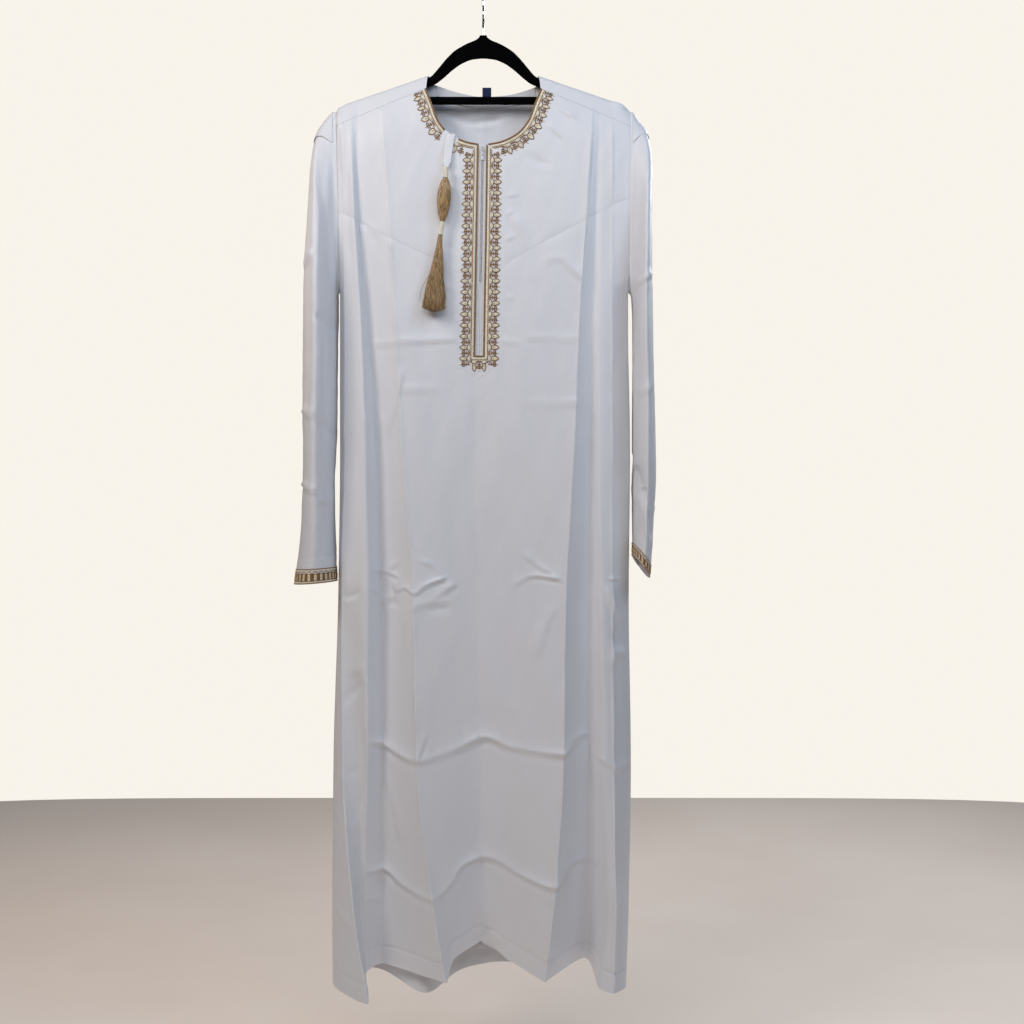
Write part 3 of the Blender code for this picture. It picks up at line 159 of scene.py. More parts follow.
# Creases: half-width, height out of the cloth (less than 0 is a trough), then (x, drop)
Crease = namedtuple("Crease", "name width height path")
FRONT_CREASES = tuple(Crease(*row) for row in (
    ("flap_top", 5, -1.4, ((-224, 954), (-215, 959), (-191, 948))),
    ("flap_lit", 5, 1.6, ((-215, 1081), (-197, 1076), (-180, 1065))),
    ("flap_hook", 5, -1.3, ((-221, 1134), (-210, 1116), (-182, 1094))),
    ("flap_low", 4, -1, ((-217, 1238), (-187, 1232))),
    ("flap_nick", 4, 1.2, ((-212, 1326), (-193, 1311))),
    ("edge_one", 4, 1, ((-232, 1231), (-218, 1251))),
    ("edge_two", 4, 1, ((-232, 1301), (-213, 1326))),
    ("edge_three", 5, 1.2, ((-236, 1442), (-202, 1475))),
    ("waist_left", 3.5, 1.1, ((-179, 915), (-160, 918), (-146, 921), (-128, 930))),
    ("waist_tick", 3, 1, ((-149, 918), (-132, 900))),
    ("waist_long", 3.6, 1.5, ((-143, 950), (-121, 943), (-107, 952), (-91, 940), (-66, 930), (-56, 926))),
    ("waist_hook", 3.5, 1.3, ((-100, 900), (-78, 910), (-64, 928))),
    ("waist_fork", 3, 1, ((-128, 930), (-141, 948))),
    ("waist_spur", 3, -0.8, ((-146, 943), (-141, 959))),
    ("waist_under", 3.5, -1, ((-154, 965), (-128, 974))),
    ("waist_sag", 5, -1, ((-92, 981), (-47, 977))),
    ("waist_rise", 5, 1, ((-86, 966), (-40, 934))),
    ("right_rise", 4, 1.1, ((46, 944), (65, 929), (82, 924), (126, 930))),
    ("right_slant", 4, 1, ((63, 889), (87, 908), (109, 922))),
    ("chest_line", 4, 0.9, ((-180, 561), (-130, 558), (-36, 553))),
    ("chest_right", 3, 0.7, ((27, 556), (59, 561))),
    ("rib_left", 3, 0.8, ((-130, 633), (-70, 633))),
    ("rib_right", 3.5, 1.1, ((66, 655), (109, 657), (153, 654))),
    ("rib_edge", 3, 0.7, ((-191, 680), (-152, 680))),
    ("knee_wave", 6, 1.6, ((-181, 1183), (-154, 1193), (-103, 1213), (-51, 1200), (5, 1179), (46, 1194),
                          (126, 1202), (151, 1175), (175, 1175))),
    ("knee_spur", 3, 1, ((-103, 1213), (-92, 1181), (-88, 1169))),
    ("knee_flap", 5, 1.2, ((178, 1207), (197, 1219), (214, 1229), (231, 1216))),
    ("shin_wave", 6, 1.6, ((-188, 1394), (-158, 1392), (-124, 1413), (-80, 1428), (-52, 1408), (-34, 1383),
                          (5, 1372), (66, 1398), (110, 1409), (139, 1375), (163, 1372), (184, 1381))),
    ("shin_left", 4, 0.8, ((-194, 1444), (-179, 1439), (-157, 1444))),
    ("shin_flap", 4, 1, ((202, 1443), (228, 1435))),
    ("chest_right_long", 3, 0.6, ((66, 551), (110, 552), (154, 556))),
    ("waist_star_left", 3, 1.0, ((-178, 940), (-158, 968), (-150, 990))),
    ("waist_star_low", 3, 1.0, ((-172, 968), (-150, 962), (-132, 944))),
    ("waist_kite", 3, 0.9, ((-150, 700), (-132, 640), (-126, 600))),
    ("pucker_one", 2.6, 0.5, ((36, 327), (58, 324))),
    ("pucker_two", 2.6, 0.5, ((35, 356), (52, 349))),
    ("pucker_three", 2.6, 0.5, ((34, 396), (54, 391))),
    ("pucker_four", 2.6, -0.5, ((33, 431), (50, 433))),
    ("pucker_five", 2.6, 0.5, ((33, 486), (52, 490))),
    ("pucker_six", 2.6, 0.5, ((-66, 316), (-42, 312))),
    ("pucker_seven", 2.6, -0.5, ((-62, 410), (-42, 407))),
    ("pucker_eight", 2.6, 0.5, ((-66, 470), (-43, 474))),
    ("neck_pull_right", 4, 1.0, ((96, 176), (120, 186), (150, 203))),
    ("neck_pull_low", 4, 0.9, ((92, 205), (112, 219), (128, 236))),
    ("breast_hollow", 6, -0.8, ((70, 258), (92, 274), (110, 279))),
    ("breast_curl", 4, 1.1, ((102, 438), (106, 426), (122, 426), (142, 444), (158, 460))),
    ("slit_slope", 7, 0.9, ((44, 350), (60, 380), (72, 420), (78, 470))),
    ("waist_apron", 4, 1.0, ((-118, 992), (-104, 972), (-84, 968), (-52, 965))),
    ("apron_side", 4, 0.7, ((-121, 1050), (-120, 1010), (-112, 984))),
    ("right_drape", 5, 0.9, ((118, 968), (98, 1004), (84, 1056))),
    ("flap_wave_high", 6, 1.3, ((192, 936), (206, 972), (226, 1004))),
    ("flap_wave_low", 6, 1.4, ((196, 1072), (212, 1048), (230, 1056))),
    ("flap_wave_deep", 7, -1.1, ((200, 1010), (214, 1030), (232, 1040))),
    ("flap_tick", 3, 1.0, ((196, 930), (232, 931))),
    ("left_drape", 5, 0.8, ((-152, 1236), (-136, 1300), (-128, 1352))),
    ("rest_ripple_one", 3, 0.10, ((-34, 1108), (0, 1104), (44, 1112))),
    ("rest_ripple_two", 3, 0.10, ((-44, 1122), (2, 1117), (60, 1127))),
    ("rest_ripple_three", 3, 0.10, ((-50, 1136), (4, 1131), (64, 1141))),
    ("rest_ripple_four", 3, 0.10, ((-20, 1262), (30, 1254), (84, 1262))),
    ("rest_ripple_five", 3, 0.10, ((-26, 1276), (28, 1268), (80, 1276))),
))
PRESS_LINES = tuple(Crease(fold.name + "_line", 2.4, 0.30, tuple(zip(fold.x, LEVELS)))
                    for fold in FRONT_FOLDS if fold.name in ("left_press", "right_press", "left_flap", "right_flap"))
BACK_CREASES = tuple(Crease(*row) for row in (
    ("centre_press", 2.6, -0.6, ((-2, 160), (0, 600), (4, 1100), (8, 1560))),
    ("blade_left", 8, 1.2, ((-150, 240), (-120, 420), (-104, 640))),
    ("blade_right", 8, 1.2, ((150, 250), (128, 430), (112, 650))),
    ("skirt_left", 8, 1.3, ((-80, 980), (-110, 1240), (-120, 1500))),
    ("skirt_right", 8, -1.2, ((100, 960), (120, 1200), (126, 1480))),
    ("neck_pull", 4, 0.8, ((-60, 182), (-20, 196), (30, 190))),
    ("hip_left", 5, 1.1, ((-196, 720), (-160, 738), (-118, 730))),
    ("hip_right", 5, 1.0, ((120, 764), (168, 752), (206, 770))),
    ("back_chest", 4, 0.9, ((-190, 548), (-60, 556), (70, 551), (196, 560))),
    ("back_waist", 4, 1.2, ((-170, 930), (-96, 915), (-40, 938), (20, 922))),
    ("back_waist_right", 4, 1.0, ((60, 905), (104, 922), (160, 915))),
    ("back_tick", 3, 0.9, ((-44, 902), (-18, 925))),
    ("back_fork", 3, -0.9, ((-110, 950), (-70, 962), (-46, 955))),
    ("back_knee", 6, 1.5, ((-205, 1188), (-140, 1204), (-60, 1182), (12, 1196), (90, 1180), (150, 1202),
                          (214, 1190))),
    ("back_shin", 6, 1.5, ((-208, 1390), (-150, 1402), (-70, 1384), (4, 1408), (84, 1386), (150, 1404),
                          (206, 1388))),
    ("back_flank", 4, 1.0, ((176, 1010), (204, 1030))),
    ("back_flank_left", 4, 1.0, ((-212, 1060), (-184, 1044))),
    ("back_rib", 3, 0.7, ((30, 668), (120, 662))),
))


# Values along tables
def smooth_value(places, values, at):
    """Smooth values between a table's rows that never pass beyond the two nearest."""
    places = np.asarray(places, float)
    values = np.asarray(values, float)
    at = np.clip(np.asarray(at, float), places[0], places[-1])
    steps = np.diff(values) / np.diff(places)
    product = steps[:-1] * steps[1:]
    total = steps[:-1] + steps[1:]
    inner = np.where(product > 0, 2.0 * product / np.where(product > 0, total, 1.0), 0.0)
    slopes = np.concatenate(([steps[0]], inner, [steps[-1]]))
    i = np.clip(np.searchsorted(places, at, side="right") - 1, 0, len(steps) - 1)
    span = places[i + 1] - places[i]
    t = (at - places[i]) / span
    rise = (1.0 + 2.0 * t) * (1.0 - t) ** 2 * values[i] + t * t * (3.0 - 2.0 * t) * values[i + 1]
    return rise + span * (t * (1.0 - t) ** 2 * slopes[i] + t * t * (t - 1.0) * slopes[i + 1])


def smooth_along(points, at):
    return smooth_value([p[0] for p in points], [p[1] for p in points], at)


def smooth_step(value):
    value = np.clip(value, 0.0, 1.0)
    return value * value * (3.0 - 2.0 * value)


def between(start, end, share):
    return start + (end - start) * share


def unit(vectors):
    length = np.linalg.norm(vectors, axis=-1, keepdims=True)
    return vectors / np.where(length > 1e-9, length, 1.0)


def run_lengths(points, axis=0):
    """Lengths from the first point on, down one axis of a line or a grid."""
    steps = np.cumsum(np.linalg.norm(np.diff(points, axis=axis), axis=-1), axis=axis)
    return np.concatenate([np.zeros_like(steps.take([0], axis=axis)), steps], axis=axis)


def side_fold(side):
    return FRONT_FOLDS[0 if side < 0 else -1].x


def slit_fold(side):
    return FRONT_FOLDS[SLIT_LEFT if side < 0 else SLIT_RIGHT].x


# The robe's surfaces
def ridge_drop(x):
    out = np.maximum(np.abs(x) - NECK_HALF, 0.0)
    tip = np.maximum(np.abs(x) - TIP_START, 0.0) / TIP_WIDTH
    return RIDGE_DROP + RIDGE_SLOPE * out + TIP_FALL * tip * tip


def shoulder_depth(full, x, drop):
    below = np.maximum(drop - ridge_drop(x), 0.0)
    opened = 1.0 - (1.0 - np.minimum(below / FULL_DEPTH_BELOW, 1.0)) ** 2
    rounded = np.sqrt(np.maximum(1.0 - (1.0 - np.minimum(below / RIDGE_ROUND, 1.0)) ** 2, 0.0))
    return rounded * between(RIDGE_HALF_DEPTH, full, opened)


def armhole_depth(drop):
    middle = (ARM_TOP + ARM_BOTTOM) / 2.0
    share = (drop - middle) / (ARM_BOTTOM - middle)
    return ARM_HALF_DEPTH * np.sqrt(np.maximum(1.0 - share * share, 0.0))


def panel_points(folds, u, drop, facing):
    """Outer points (x, y) of the front or back at fold numbers u; facing is -1 on the front."""
    u = np.asarray(u, float)
    drop = np.asarray(drop, float)
    last = len(folds) - 1
    rails = np.empty((last + 1, u.size, 2))
    for index, fold in enumerate(folds):
        rails[index, :, 0] = smooth_value(LEVELS, fold.x, drop)
        rails[index, :, 1] = smooth_value(LEVELS, fold.y, drop)
    for index in (0, last):
        above = drop < ARM_BOTTOM
        rails[index, above, 1] = facing * armhole_depth(drop[above])
    turned = smooth_step((drop - SIDE_TURN_START) / (ARM_BOTTOM - SIDE_TURN_START))[:, None]
    headings = np.empty_like(rails)
    headings[1:-1] = unit(rails[2:] - rails[:-2])
    first_side = np.array((0.0, 1.0)) * facing
    headings[0] = unit(unit(rails[1] - rails[0]) * (1.0 - turned) + first_side * turned)
    headings[last] = unit(unit(rails[last] - rails[last - 1]) * (1.0 - turned) - first_side * turned)
    k = np.clip(u.astype(int), 0, last - 1)
    t = (u - k)[:, None]
    here = np.arange(u.size)
    soft = np.array([fold.soft for fold in folds])
    start = rails[k, here]
    end = rails[k + 1, here]
    chord = np.linalg.norm(end - start, axis=1)[:, None]
    leave = headings[k, here] * chord * soft[k][:, None]
    arrive = headings[k + 1, here] * chord * soft[k + 1][:, None]
    point = start * ((1.0 + 2.0 * t) * (1.0 - t) ** 2) + end * (t * t * (3.0 - 2.0 * t))
    point = point + leave * (t * (1.0 - t) ** 2) + arrive * (t * t * (t - 1.0))
    outward = facing * point[:, 1] > 0.0
    at_side = smooth_step(1.0 - u) + smooth_step(1.0 - (last - u))
    depth = np.abs(point[:, 1])
    hung = facing * between(shoulder_depth(depth, point[:, 0], drop), depth, at_side)
    point[:, 1] = np.where(outward, hung, point[:, 1])
    return point


class ChestMap:
    """Depth of the front or back over a fine net of x and drop, for what is laid on the chest."""

    def __init__(self, folds, facing):
        self.drops = np.arange(122.0, 640.0, 2.0)
        self.across = np.arange(-236.0, 236.1, 1.0)
        self.facing = facing
        numbers = np.linspace(0.0, len(folds) - 1.0, 700)
        rows = []
        for drop in self.drops:
            point = panel_points(folds, numbers, np.full(numbers.size, drop), facing)
            order = np.argsort(point[:, 0])
            rows.append(np.interp(self.across, point[order, 0], point[order, 1]))
        self.depth = np.array(rows)

    def y(self, x, drop):
        i = np.clip((np.asarray(drop) - self.drops[0]) / 2.0, 0, len(self.drops) - 1.001)
        j = np.clip(np.asarray(x) - self.across[0], 0, len(self.across) - 1.001)
        i0, j0 = i.astype(int), j.astype(int)
        di, dj = i - i0, j - j0
        d = self.depth
        upper = d[i0, j0] * (1 - dj) + d[i0, j0 + 1] * dj
        lower = d[i0 + 1, j0] * (1 - dj) + d[i0 + 1, j0 + 1] * dj
        return upper * (1 - di) + lower * di

    def point(self, x, drop, lift=0.0):
        """Points on the outside, lifted off the creased cloth."""
        x = np.asarray(x, float)
        drop = np.asarray(drop, float)
        across = (self.y(x + 1.5, drop) - self.y(x - 1.5, drop)) / 3.0
        down = (self.y(x, drop + 1.5) - self.y(x, drop - 1.5)) / 3.0
        out = unit(np.stack([-across * self.facing, np.full(x.shape, float(self.facing)),
                             down * self.facing], axis=-1))
        base = np.stack([x, self.y(x, drop), -drop], axis=-1)
        return base + out * np.asarray(lift)[..., None]


def crease_profile(crease, away, under):
    """A narrow ridge on a broad swell, with a hollow just under it; under is 1 below the line and -1 above."""
    ridge = 0.95 * np.exp(-(away / crease.width) ** 1.3)
    swell = 0.5 * np.maximum(1.0 - away / (crease.width * 5.0), 0.0) ** 1.3
    hollow = 0.6 * np.exp(-((under * away / crease.width - 1.7) / 0.9) ** 2)
    return math.copysign(2.8 * abs(crease.height) ** 0.65, crease.height) * (ridge + swell - hollow)


def crease_height(creases, x, drop):
    """How far the creases lift the cloth at each point."""
    lift = np.zeros_like(x)
    for crease in creases:
        path = np.array(crease.path, float)
        lengths = run_lengths(path)
        fine = np.linspace(0.0, lengths[-1], max(int(lengths[-1] / 5.0), 4))
        cx = smooth_value(lengths, path[:, 0], fine)
        cd = smooth_value(lengths, path[:, 1], fine)
        reach = crease.width * 5.0
        near = ((x > cx.min() - reach) & (x < cx.max() + reach) & (drop > cd.min() - reach)
                & (drop < cd.max() + reach))
        if not near.any():
            continue
        px, pd = x[near], drop[near]
        best = np.full(px.size, 1e9)
        along = np.zeros(px.size)
        under = np.zeros(px.size)
        for i in range(len(fine) - 1):
            ax, ad, bx, bd = cx[i], cd[i], cx[i + 1], cd[i + 1]
            run = (bx - ax) ** 2 + (bd - ad) ** 2
            t = np.clip(((px - ax) * (bx - ax) + (pd - ad) * (bd - ad)) / run, 0.0, 1.0)
            away = np.hypot(px - ax - t * (bx - ax), pd - ad - t * (bd - ad))
            closer = away < best
            under = np.where(closer, np.sign(pd - ad - t * (bd - ad)), under)
            best = np.where(closer, away, best)
            along = np.where(closer, (i + t) / (len(fine) - 1.0), along)
        fade = smooth_step(np.minimum(along, 1.0 - along) * lengths[-1] / (crease.width * 4.0) + 0.15)
        wander = 0.75 + 0.25 * np.sin(along * lengths[-1] / 23.0 + crease.width)
        lift[near] += crease_profile(crease, best, under) * fade * wander
    return lift


def flow_ripples(x, drop, seed):
    """Shallow unevenness that hanging cloth has everywhere, mostly upright."""
    rng = np.random.default_rng(seed)
    total = np.zeros_like(x)
    for count, wide, high, most_lean, strength in (
            (9, (40.0, 130.0), (160.0, 520.0), 0.12, (0.12, 0.4)), (8, (18.0, 60.0), (26.0, 90.0), 0.0, (0.04, 0.10))):
        for _ in range(count):
            across, tall = rng.uniform(*wide), rng.uniform(*high)
            lean = rng.uniform(-most_lean, most_lean) if most_lean else 0.0
            wave = rng.uniform(*strength) * np.sin((x + lean * drop) / across * 2 * np.pi + rng.uniform(0, 6.28))
            total += wave * np.sin(drop / tall * 2 * np.pi + rng.uniform(0, 6.28))
    return total


def grid_normals(grid, facing_out):
    """Normals of a (columns, rows, 3) grid, turned to the side that facing_out marks at each point."""
    across = np.gradient(grid, axis=0)
    down = np.gradient(grid, axis=1)
    normal = unit(np.cross(across, down))
    flip = np.sign((normal * facing_out).sum(axis=-1, keepdims=True))
    return normal * np.where(flip == 0, 1.0, flip)


# Meshes
def placed_object(name, data):
    obj = bpy.data.objects.new(name, data)
    bpy.context.scene.collection.objects.link(obj)
    return obj


def evaluated_mesh(name, obj):
    """What an object's modifiers or curve make, as a plain mesh."""
    bpy.context.view_layer.update()
    mesh = bpy.data.meshes.new_from_object(obj.evaluated_get(bpy.context.evaluated_depsgraph_get()))
    mesh.name = name
    return mesh


def set_uv(mesh, uv):
    layer = mesh.uv_layers.new(name="UVMap")
    corner = np.empty(len(mesh.loops), np.int32)
    mesh.loops.foreach_get("vertex_index", corner)
    layer.data.foreach_set("uv", np.asarray(uv, np.float32)[corner].ravel())


def mesh_object(name, points, faces, material, smooth=True):
    """An object from points in millimetres."""
    mesh = bpy.data.meshes.new(name)
    mesh.from_pydata((np.asarray(points, float) * MM).tolist(), [], faces)
    mesh.update()
    if smooth:
        mesh.shade_smooth()
    mesh.materials.append(material)
    return placed_object(name, mesh)


def grid_faces(columns, rows, closed=False, skip=None):
    faces = []
    for i in range(columns if closed else columns - 1):
        k = (i + 1) % columns
        for j in range(rows - 1):
            if skip is None or not skip[i, j]:
                a = i * rows + j
                b = k * rows + j
                faces.append((a, a + 1, b + 1, b))
    return faces


def tube_object(name, grid, material):
    """A closed piece whose columns run round it, with flat ends and its faces turned outwards."""
    columns, rows = grid.shape[:2]
    faces = grid_faces(columns, rows, closed=True)
    faces.append(tuple(i * rows for i in range(columns)))
    faces.append(tuple(i * rows + rows - 1 for i in reversed(range(columns))))
    obj = mesh_object(name, grid.reshape(-1, 3), faces, material)
    shape = bmesh.new()
    shape.from_mesh(obj.data)
    bmesh.ops.recalc_face_normals(shape, faces=shape.faces)
    shape.to_mesh(obj.data)
    shape.free()
    return obj


def cloth_uv(grid):
    """Lengths along the cloth, in metres, so that a weave keeps its size over the folds."""
    across = run_lengths(grid)
    across -= across[len(grid) // 2]
    return np.stack([across, run_lengths(grid, 1)], axis=-1).reshape(-1, 2) * MM


def cloth_piece(name, grid, out, material, closed=False, skip=None, thickness=WALL):
    """A thin walled shell of cloth whose outer side is the grid."""
    columns, rows = grid.shape[:2]
    faces = grid_faces(columns, rows, closed, skip)
    i, j = columns // 3, rows // 2
    a, b, c = grid[i, j], grid[i, j + 1], grid[i + 1, j + 1]
    if np.dot(np.cross(b - a, c - a), out[i, j]) < 0:
        faces = [tuple(reversed(face)) for face in faces]
    obj = mesh_object(name, grid.reshape(-1, 3), faces, material)
    set_uv(obj.data, cloth_uv(grid))
    wall = obj.modifiers.new("wall", "SOLIDIFY")
    wall.thickness = thickness * MM
    wall.offset = -1.0
    walled = evaluated_mesh(name + "_walled", obj)
    obj.modifiers.remove(wall)
    open_mesh = obj.data
    obj.data = walled
    bpy.data.meshes.remove(open_mesh)
    walled.name = name
    walled.set_sharp_from_angle(angle=math.radians(RIM_ANGLE))
    return obj


# Cloth pieces
def fold_spread(folds, fine, plain):
    """Fold numbers for the columns: close together at each fold, wider on the flats between."""
    numbers = [0.0, 0.03, 0.08, 0.15]
    for k in range(len(folds) - 1):
        count = plain[k]
        inner = np.linspace(k, k + 1, count + 1)[1:]
        numbers += inner.tolist()
        if folds[k + 1].soft < 0.5:
            numbers += [k + 1 - fine, k + 1 - 2.5 * fine, k + 1 + fine, k + 1 + 2.5 * fine]
    last = len(folds) - 1.0
    numbers += [last - 0.15, last - 0.08, last - 0.03]
    numbers = sorted(set(round(n, 5) for n in numbers if 0 <= n <= last))
    kept = [numbers[0]]
    for number in numbers[1:]:
        if number - kept[-1] > 0.012:
            kept.append(number)
    kept[-1] = last
    return np.array(kept)


FRONT_U = fold_spread(FRONT_FOLDS, 0.02, (9, 7, 8, 11, 19, 14, 13, 4, 12, 24, 8, 8, 8, 10))
BACK_U = fold_spread(BACK_FOLDS, 0.02, (8, 13, 14, 15, 13, 14, 13, 11, 8))

FRONT_MAP = ChestMap(FRONT_FOLDS, -1)
BACK_MAP = ChestMap(BACK_FOLDS, 1)


def row_shares(count, finer=()):
    """Shares from 0 to 1 with rows drawn together round the places in finer, as (place, half-width)."""
    steps = np.linspace(0.0, 1.0, 2001)
    density = np.ones_like(steps)
    for place, half in finer:
        density += 3.2 * np.exp(-((steps - place) / half) ** 2)
    total = np.concatenate(([0.0], np.cumsum((density[1:] + density[:-1]) / 2.0)))
    return np.interp(np.linspace(0.0, total[-1], count), total, steps)


def under_braid(x, drop):
    """1 where the braid lies on the front, so that the cloth is flat under it, falling to 0 beside it."""
    slit_drop = np.arange(243.0, 606.0, 6.0)
    line = [np.stack([slit_middle(slit_drop), slit_drop], axis=-1)]
    line += [neck_points(side, 40) for side in (-1, 1)]
    line = np.concatenate(line)
    calm = np.zeros_like(x)
    near = drop < 660.0
    away = np.full(near.sum(), 1e9)
    for cx, cd in line:
        away = np.minimum(away, np.hypot(x[near] - cx, drop[near] - cd))
    calm[near] = 1.0 - smooth_step((away - 27.0) / 16.0)
    return calm


def hem_relief(away, across, seed):
    """The turned up hem: thicker below its stitching, pulled in along it, and puckered beside it."""
    rng = np.random.default_rng(seed)
    pull = sum(rng.uniform(0.1, 0.22) * np.sin(across / rng.uniform(19.0, 46.0) * 2.0 * np.pi + rng.uniform(0, 6.28))
               for _ in range(6))
    near = np.exp(-((away - HEM_BAND) / 15.0) ** 2)
    band = HEM_RISE * smooth_step((HEM_BAND - away) / 4.0)
    groove = HEM_GROOVE * np.exp(-((away - HEM_BAND) / 2.4) ** 2)
    return band - groove + 1.5 * pull * near


def creased(grid, folds_facing, creases, seed, edges):
    """A panel's grid with its creases and ripples, and its marked edges turned in."""
    out = grid_normals(grid, np.array((0.0, folds_facing, 0.0)))
    x = grid[..., 0].ravel()
    drop = -grid[..., 2].ravel()
    lift = crease_height(creases, x, drop) + flow_ripples(x, drop, seed)
    if folds_facing < 0:
        lift *= 1.0 - under_braid(x, drop)
    lift = lift.reshape(grid.shape[:2])
    down, across = run_lengths(grid, 1), run_lengths(grid)
    away = {"top": down, "bottom": down[:, -1:] - down, "first": across, "last": across[-1:] - across}
    fade, roll = np.ones_like(down), np.zeros_like(down)
    for edge, depth in edges:
        fade *= smooth_step(away[edge] / 12.0)
        roll -= depth * np.exp(-(away[edge] / 1.4) ** 2)
    if "bottom" not in [edge for edge, _ in edges]:
        lift = lift + hem_relief(away["bottom"], across, seed)
    return grid + out * (lift * fade + roll)[..., None], out


def above_hem(grid, out, away):
    """Points and normals on a finished panel or sleeve, a set distance up from its lower edge."""
    points, normals = [], []
    for line, normal in zip(grid[:, ::-1], out[:, ::-1]):
        length = run_lengths(line)
        points.append([np.interp(away, length, line[:, k]) for k in range(3)])
        normals.append([np.interp(away, length, normal[:, k]) for k in range(3)])
    return np.array(points), unit(np.array(normals))


def seam_drops(numbers):
    """Where the chest seam crosses each line that runs down the front."""
    drop = np.full(numbers.size, 400.0)
    for _ in range(10):
        x = panel_points(FRONT_FOLDS, numbers, drop, -1)[:, 0]
        left = smooth_along(CHEST_SEAM_LEFT, x)
        right = smooth_along(CHEST_SEAM_RIGHT, x)
        drop = np.where(numbers <= SLIT_LEFT, left, right)
    return drop


def panel_grid(folds, numbers, drops, facing):
    """drops is (columns, rows)."""
    columns, rows = drops.shape
    u = np.repeat(numbers, rows)
    point = panel_points(folds, u, drops.ravel(), facing)
    return np.stack([point[:, 0], point[:, 1], -drops.ravel()], axis=-1).reshape(columns, rows, 3)


def robe_front(material):
    top = seam_drops(FRONT_U) + SEAM / 2.0
    hem = smooth_value(range(len(FRONT_HEM)), FRONT_HEM, FRONT_U)
    hem = hem - HEM_CUSP[1] * np.exp(-np.abs(FRONT_U - HEM_CUSP[0]) / HEM_CUSP[2])
    upper = np.linspace(0.0, 1.0, 34)[:-1]
    lower = row_shares(226, ((0.36, 0.03), (0.625, 0.022), (0.845, 0.032), (0.972, 0.018)))
    drops = np.concatenate([between(top[:, None], SLIT_BOTTOM, upper[None]),
                            between(SLIT_BOTTOM, hem[:, None], lower[None])], axis=1)
    grid = panel_grid(FRONT_FOLDS, FRONT_U, drops, -1)
    grid[0, :, 1] -= SEAM / 2.0
    grid[-1, :, 1] -= SEAM / 2.0
    grid, out = creased(grid, -1, FRONT_CREASES + PRESS_LINES, 5, (("top", 0.32), ("first", 0.4), ("last", 0.4)))
    skip = np.zeros(drops.shape, bool)
    slit = (FRONT_U[:-1] >= SLIT_LEFT - 1e-6) & (FRONT_U[:-1] < SLIT_RIGHT - 1e-6)
    skip[:-1][slit, :upper.size] = True
    return cloth_piece("robe_front", grid, out, material, skip=skip), grid, out


def back_top(x):
    neck = smooth_along(BACK_NECK, x)
    out = np.abs(x) - NECK_HALF
    seam = RIDGE_DROP + RIDGE_SLOPE * out + between(*BACK_SEAM_FALL, out / (ARM_X - NECK_HALF)) + SEAM
    inside = (x >= BACK_NECK[0][0]) & (x <= BACK_NECK[-1][0])
    return np.where(inside, neck, seam)


def fold_number_at(folds, x, drop, facing):
    numbers = np.linspace(0.0, len(folds) - 1.0, 2000)
    point = panel_points(folds, numbers, np.full(numbers.size, float(drop)), facing)
    order = np.argsort(point[:, 0])
    return float(np.interp(x, point[order, 0], numbers[order]))


def robe_back(material):
    corners = [fold_number_at(BACK_FOLDS, x, drop, 1) for x, drop in (BACK_NECK[0], BACK_NECK[-1])]
    numbers = BACK_U[[min(abs(u - c) for c in corners) > 0.02 for u in BACK_U]]
    numbers = np.sort(np.concatenate([numbers, corners]))
    top = np.full(numbers.size, 150.0)
    for _ in range(10):
        top = back_top(panel_points(BACK_FOLDS, numbers, top, 1)[:, 0])
    hem = smooth_value(range(len(BACK_HEM)), BACK_HEM, numbers)
    shares = row_shares(196, ((0.01, 0.03), (0.54, 0.04), (0.735, 0.03), (0.87, 0.03), (0.99, 0.02))) ** 1.08
    drops = between(top[:, None], hem[:, None], shares[None])
    grid = panel_grid(BACK_FOLDS, numbers, drops, 1)
    grid[0, :, 1] += SEAM / 2.0
    grid[-1, :, 1] += SEAM / 2.0
    grid, out = creased(grid, 1, BACK_CREASES, 11, (("top", 0.4), ("first", 0.5), ("last", 0.5)))
    return cloth_piece("robe_back", grid, out, material), grid, out


def slit_x(side, drop):
    return smooth_value(LEVELS, slit_fold(side), drop)


def slit_middle(drop):
    return (slit_x(-1, drop) + slit_x(1, drop)) / 2.0


def neck_points(side, count):
    share = np.linspace(1.0, 0.0, count) * (len(NECKLINE) - 1)
    across = smooth_value(range(len(NECKLINE)), [p[0] for p in NECKLINE], share)
    drop = smooth_value(range(len(NECKLINE)), [p[1] for p in NECKLINE], share)
    return np.stack([NECK_CENTRE + side * across, drop], axis=-1)


def shoulder_seam_drop(x, falls):
    out = np.abs(x) - NECK_HALF
    return RIDGE_DROP + RIDGE_SLOPE * out + between(falls[0], falls[1], out / (ARM_X - NECK_HALF))


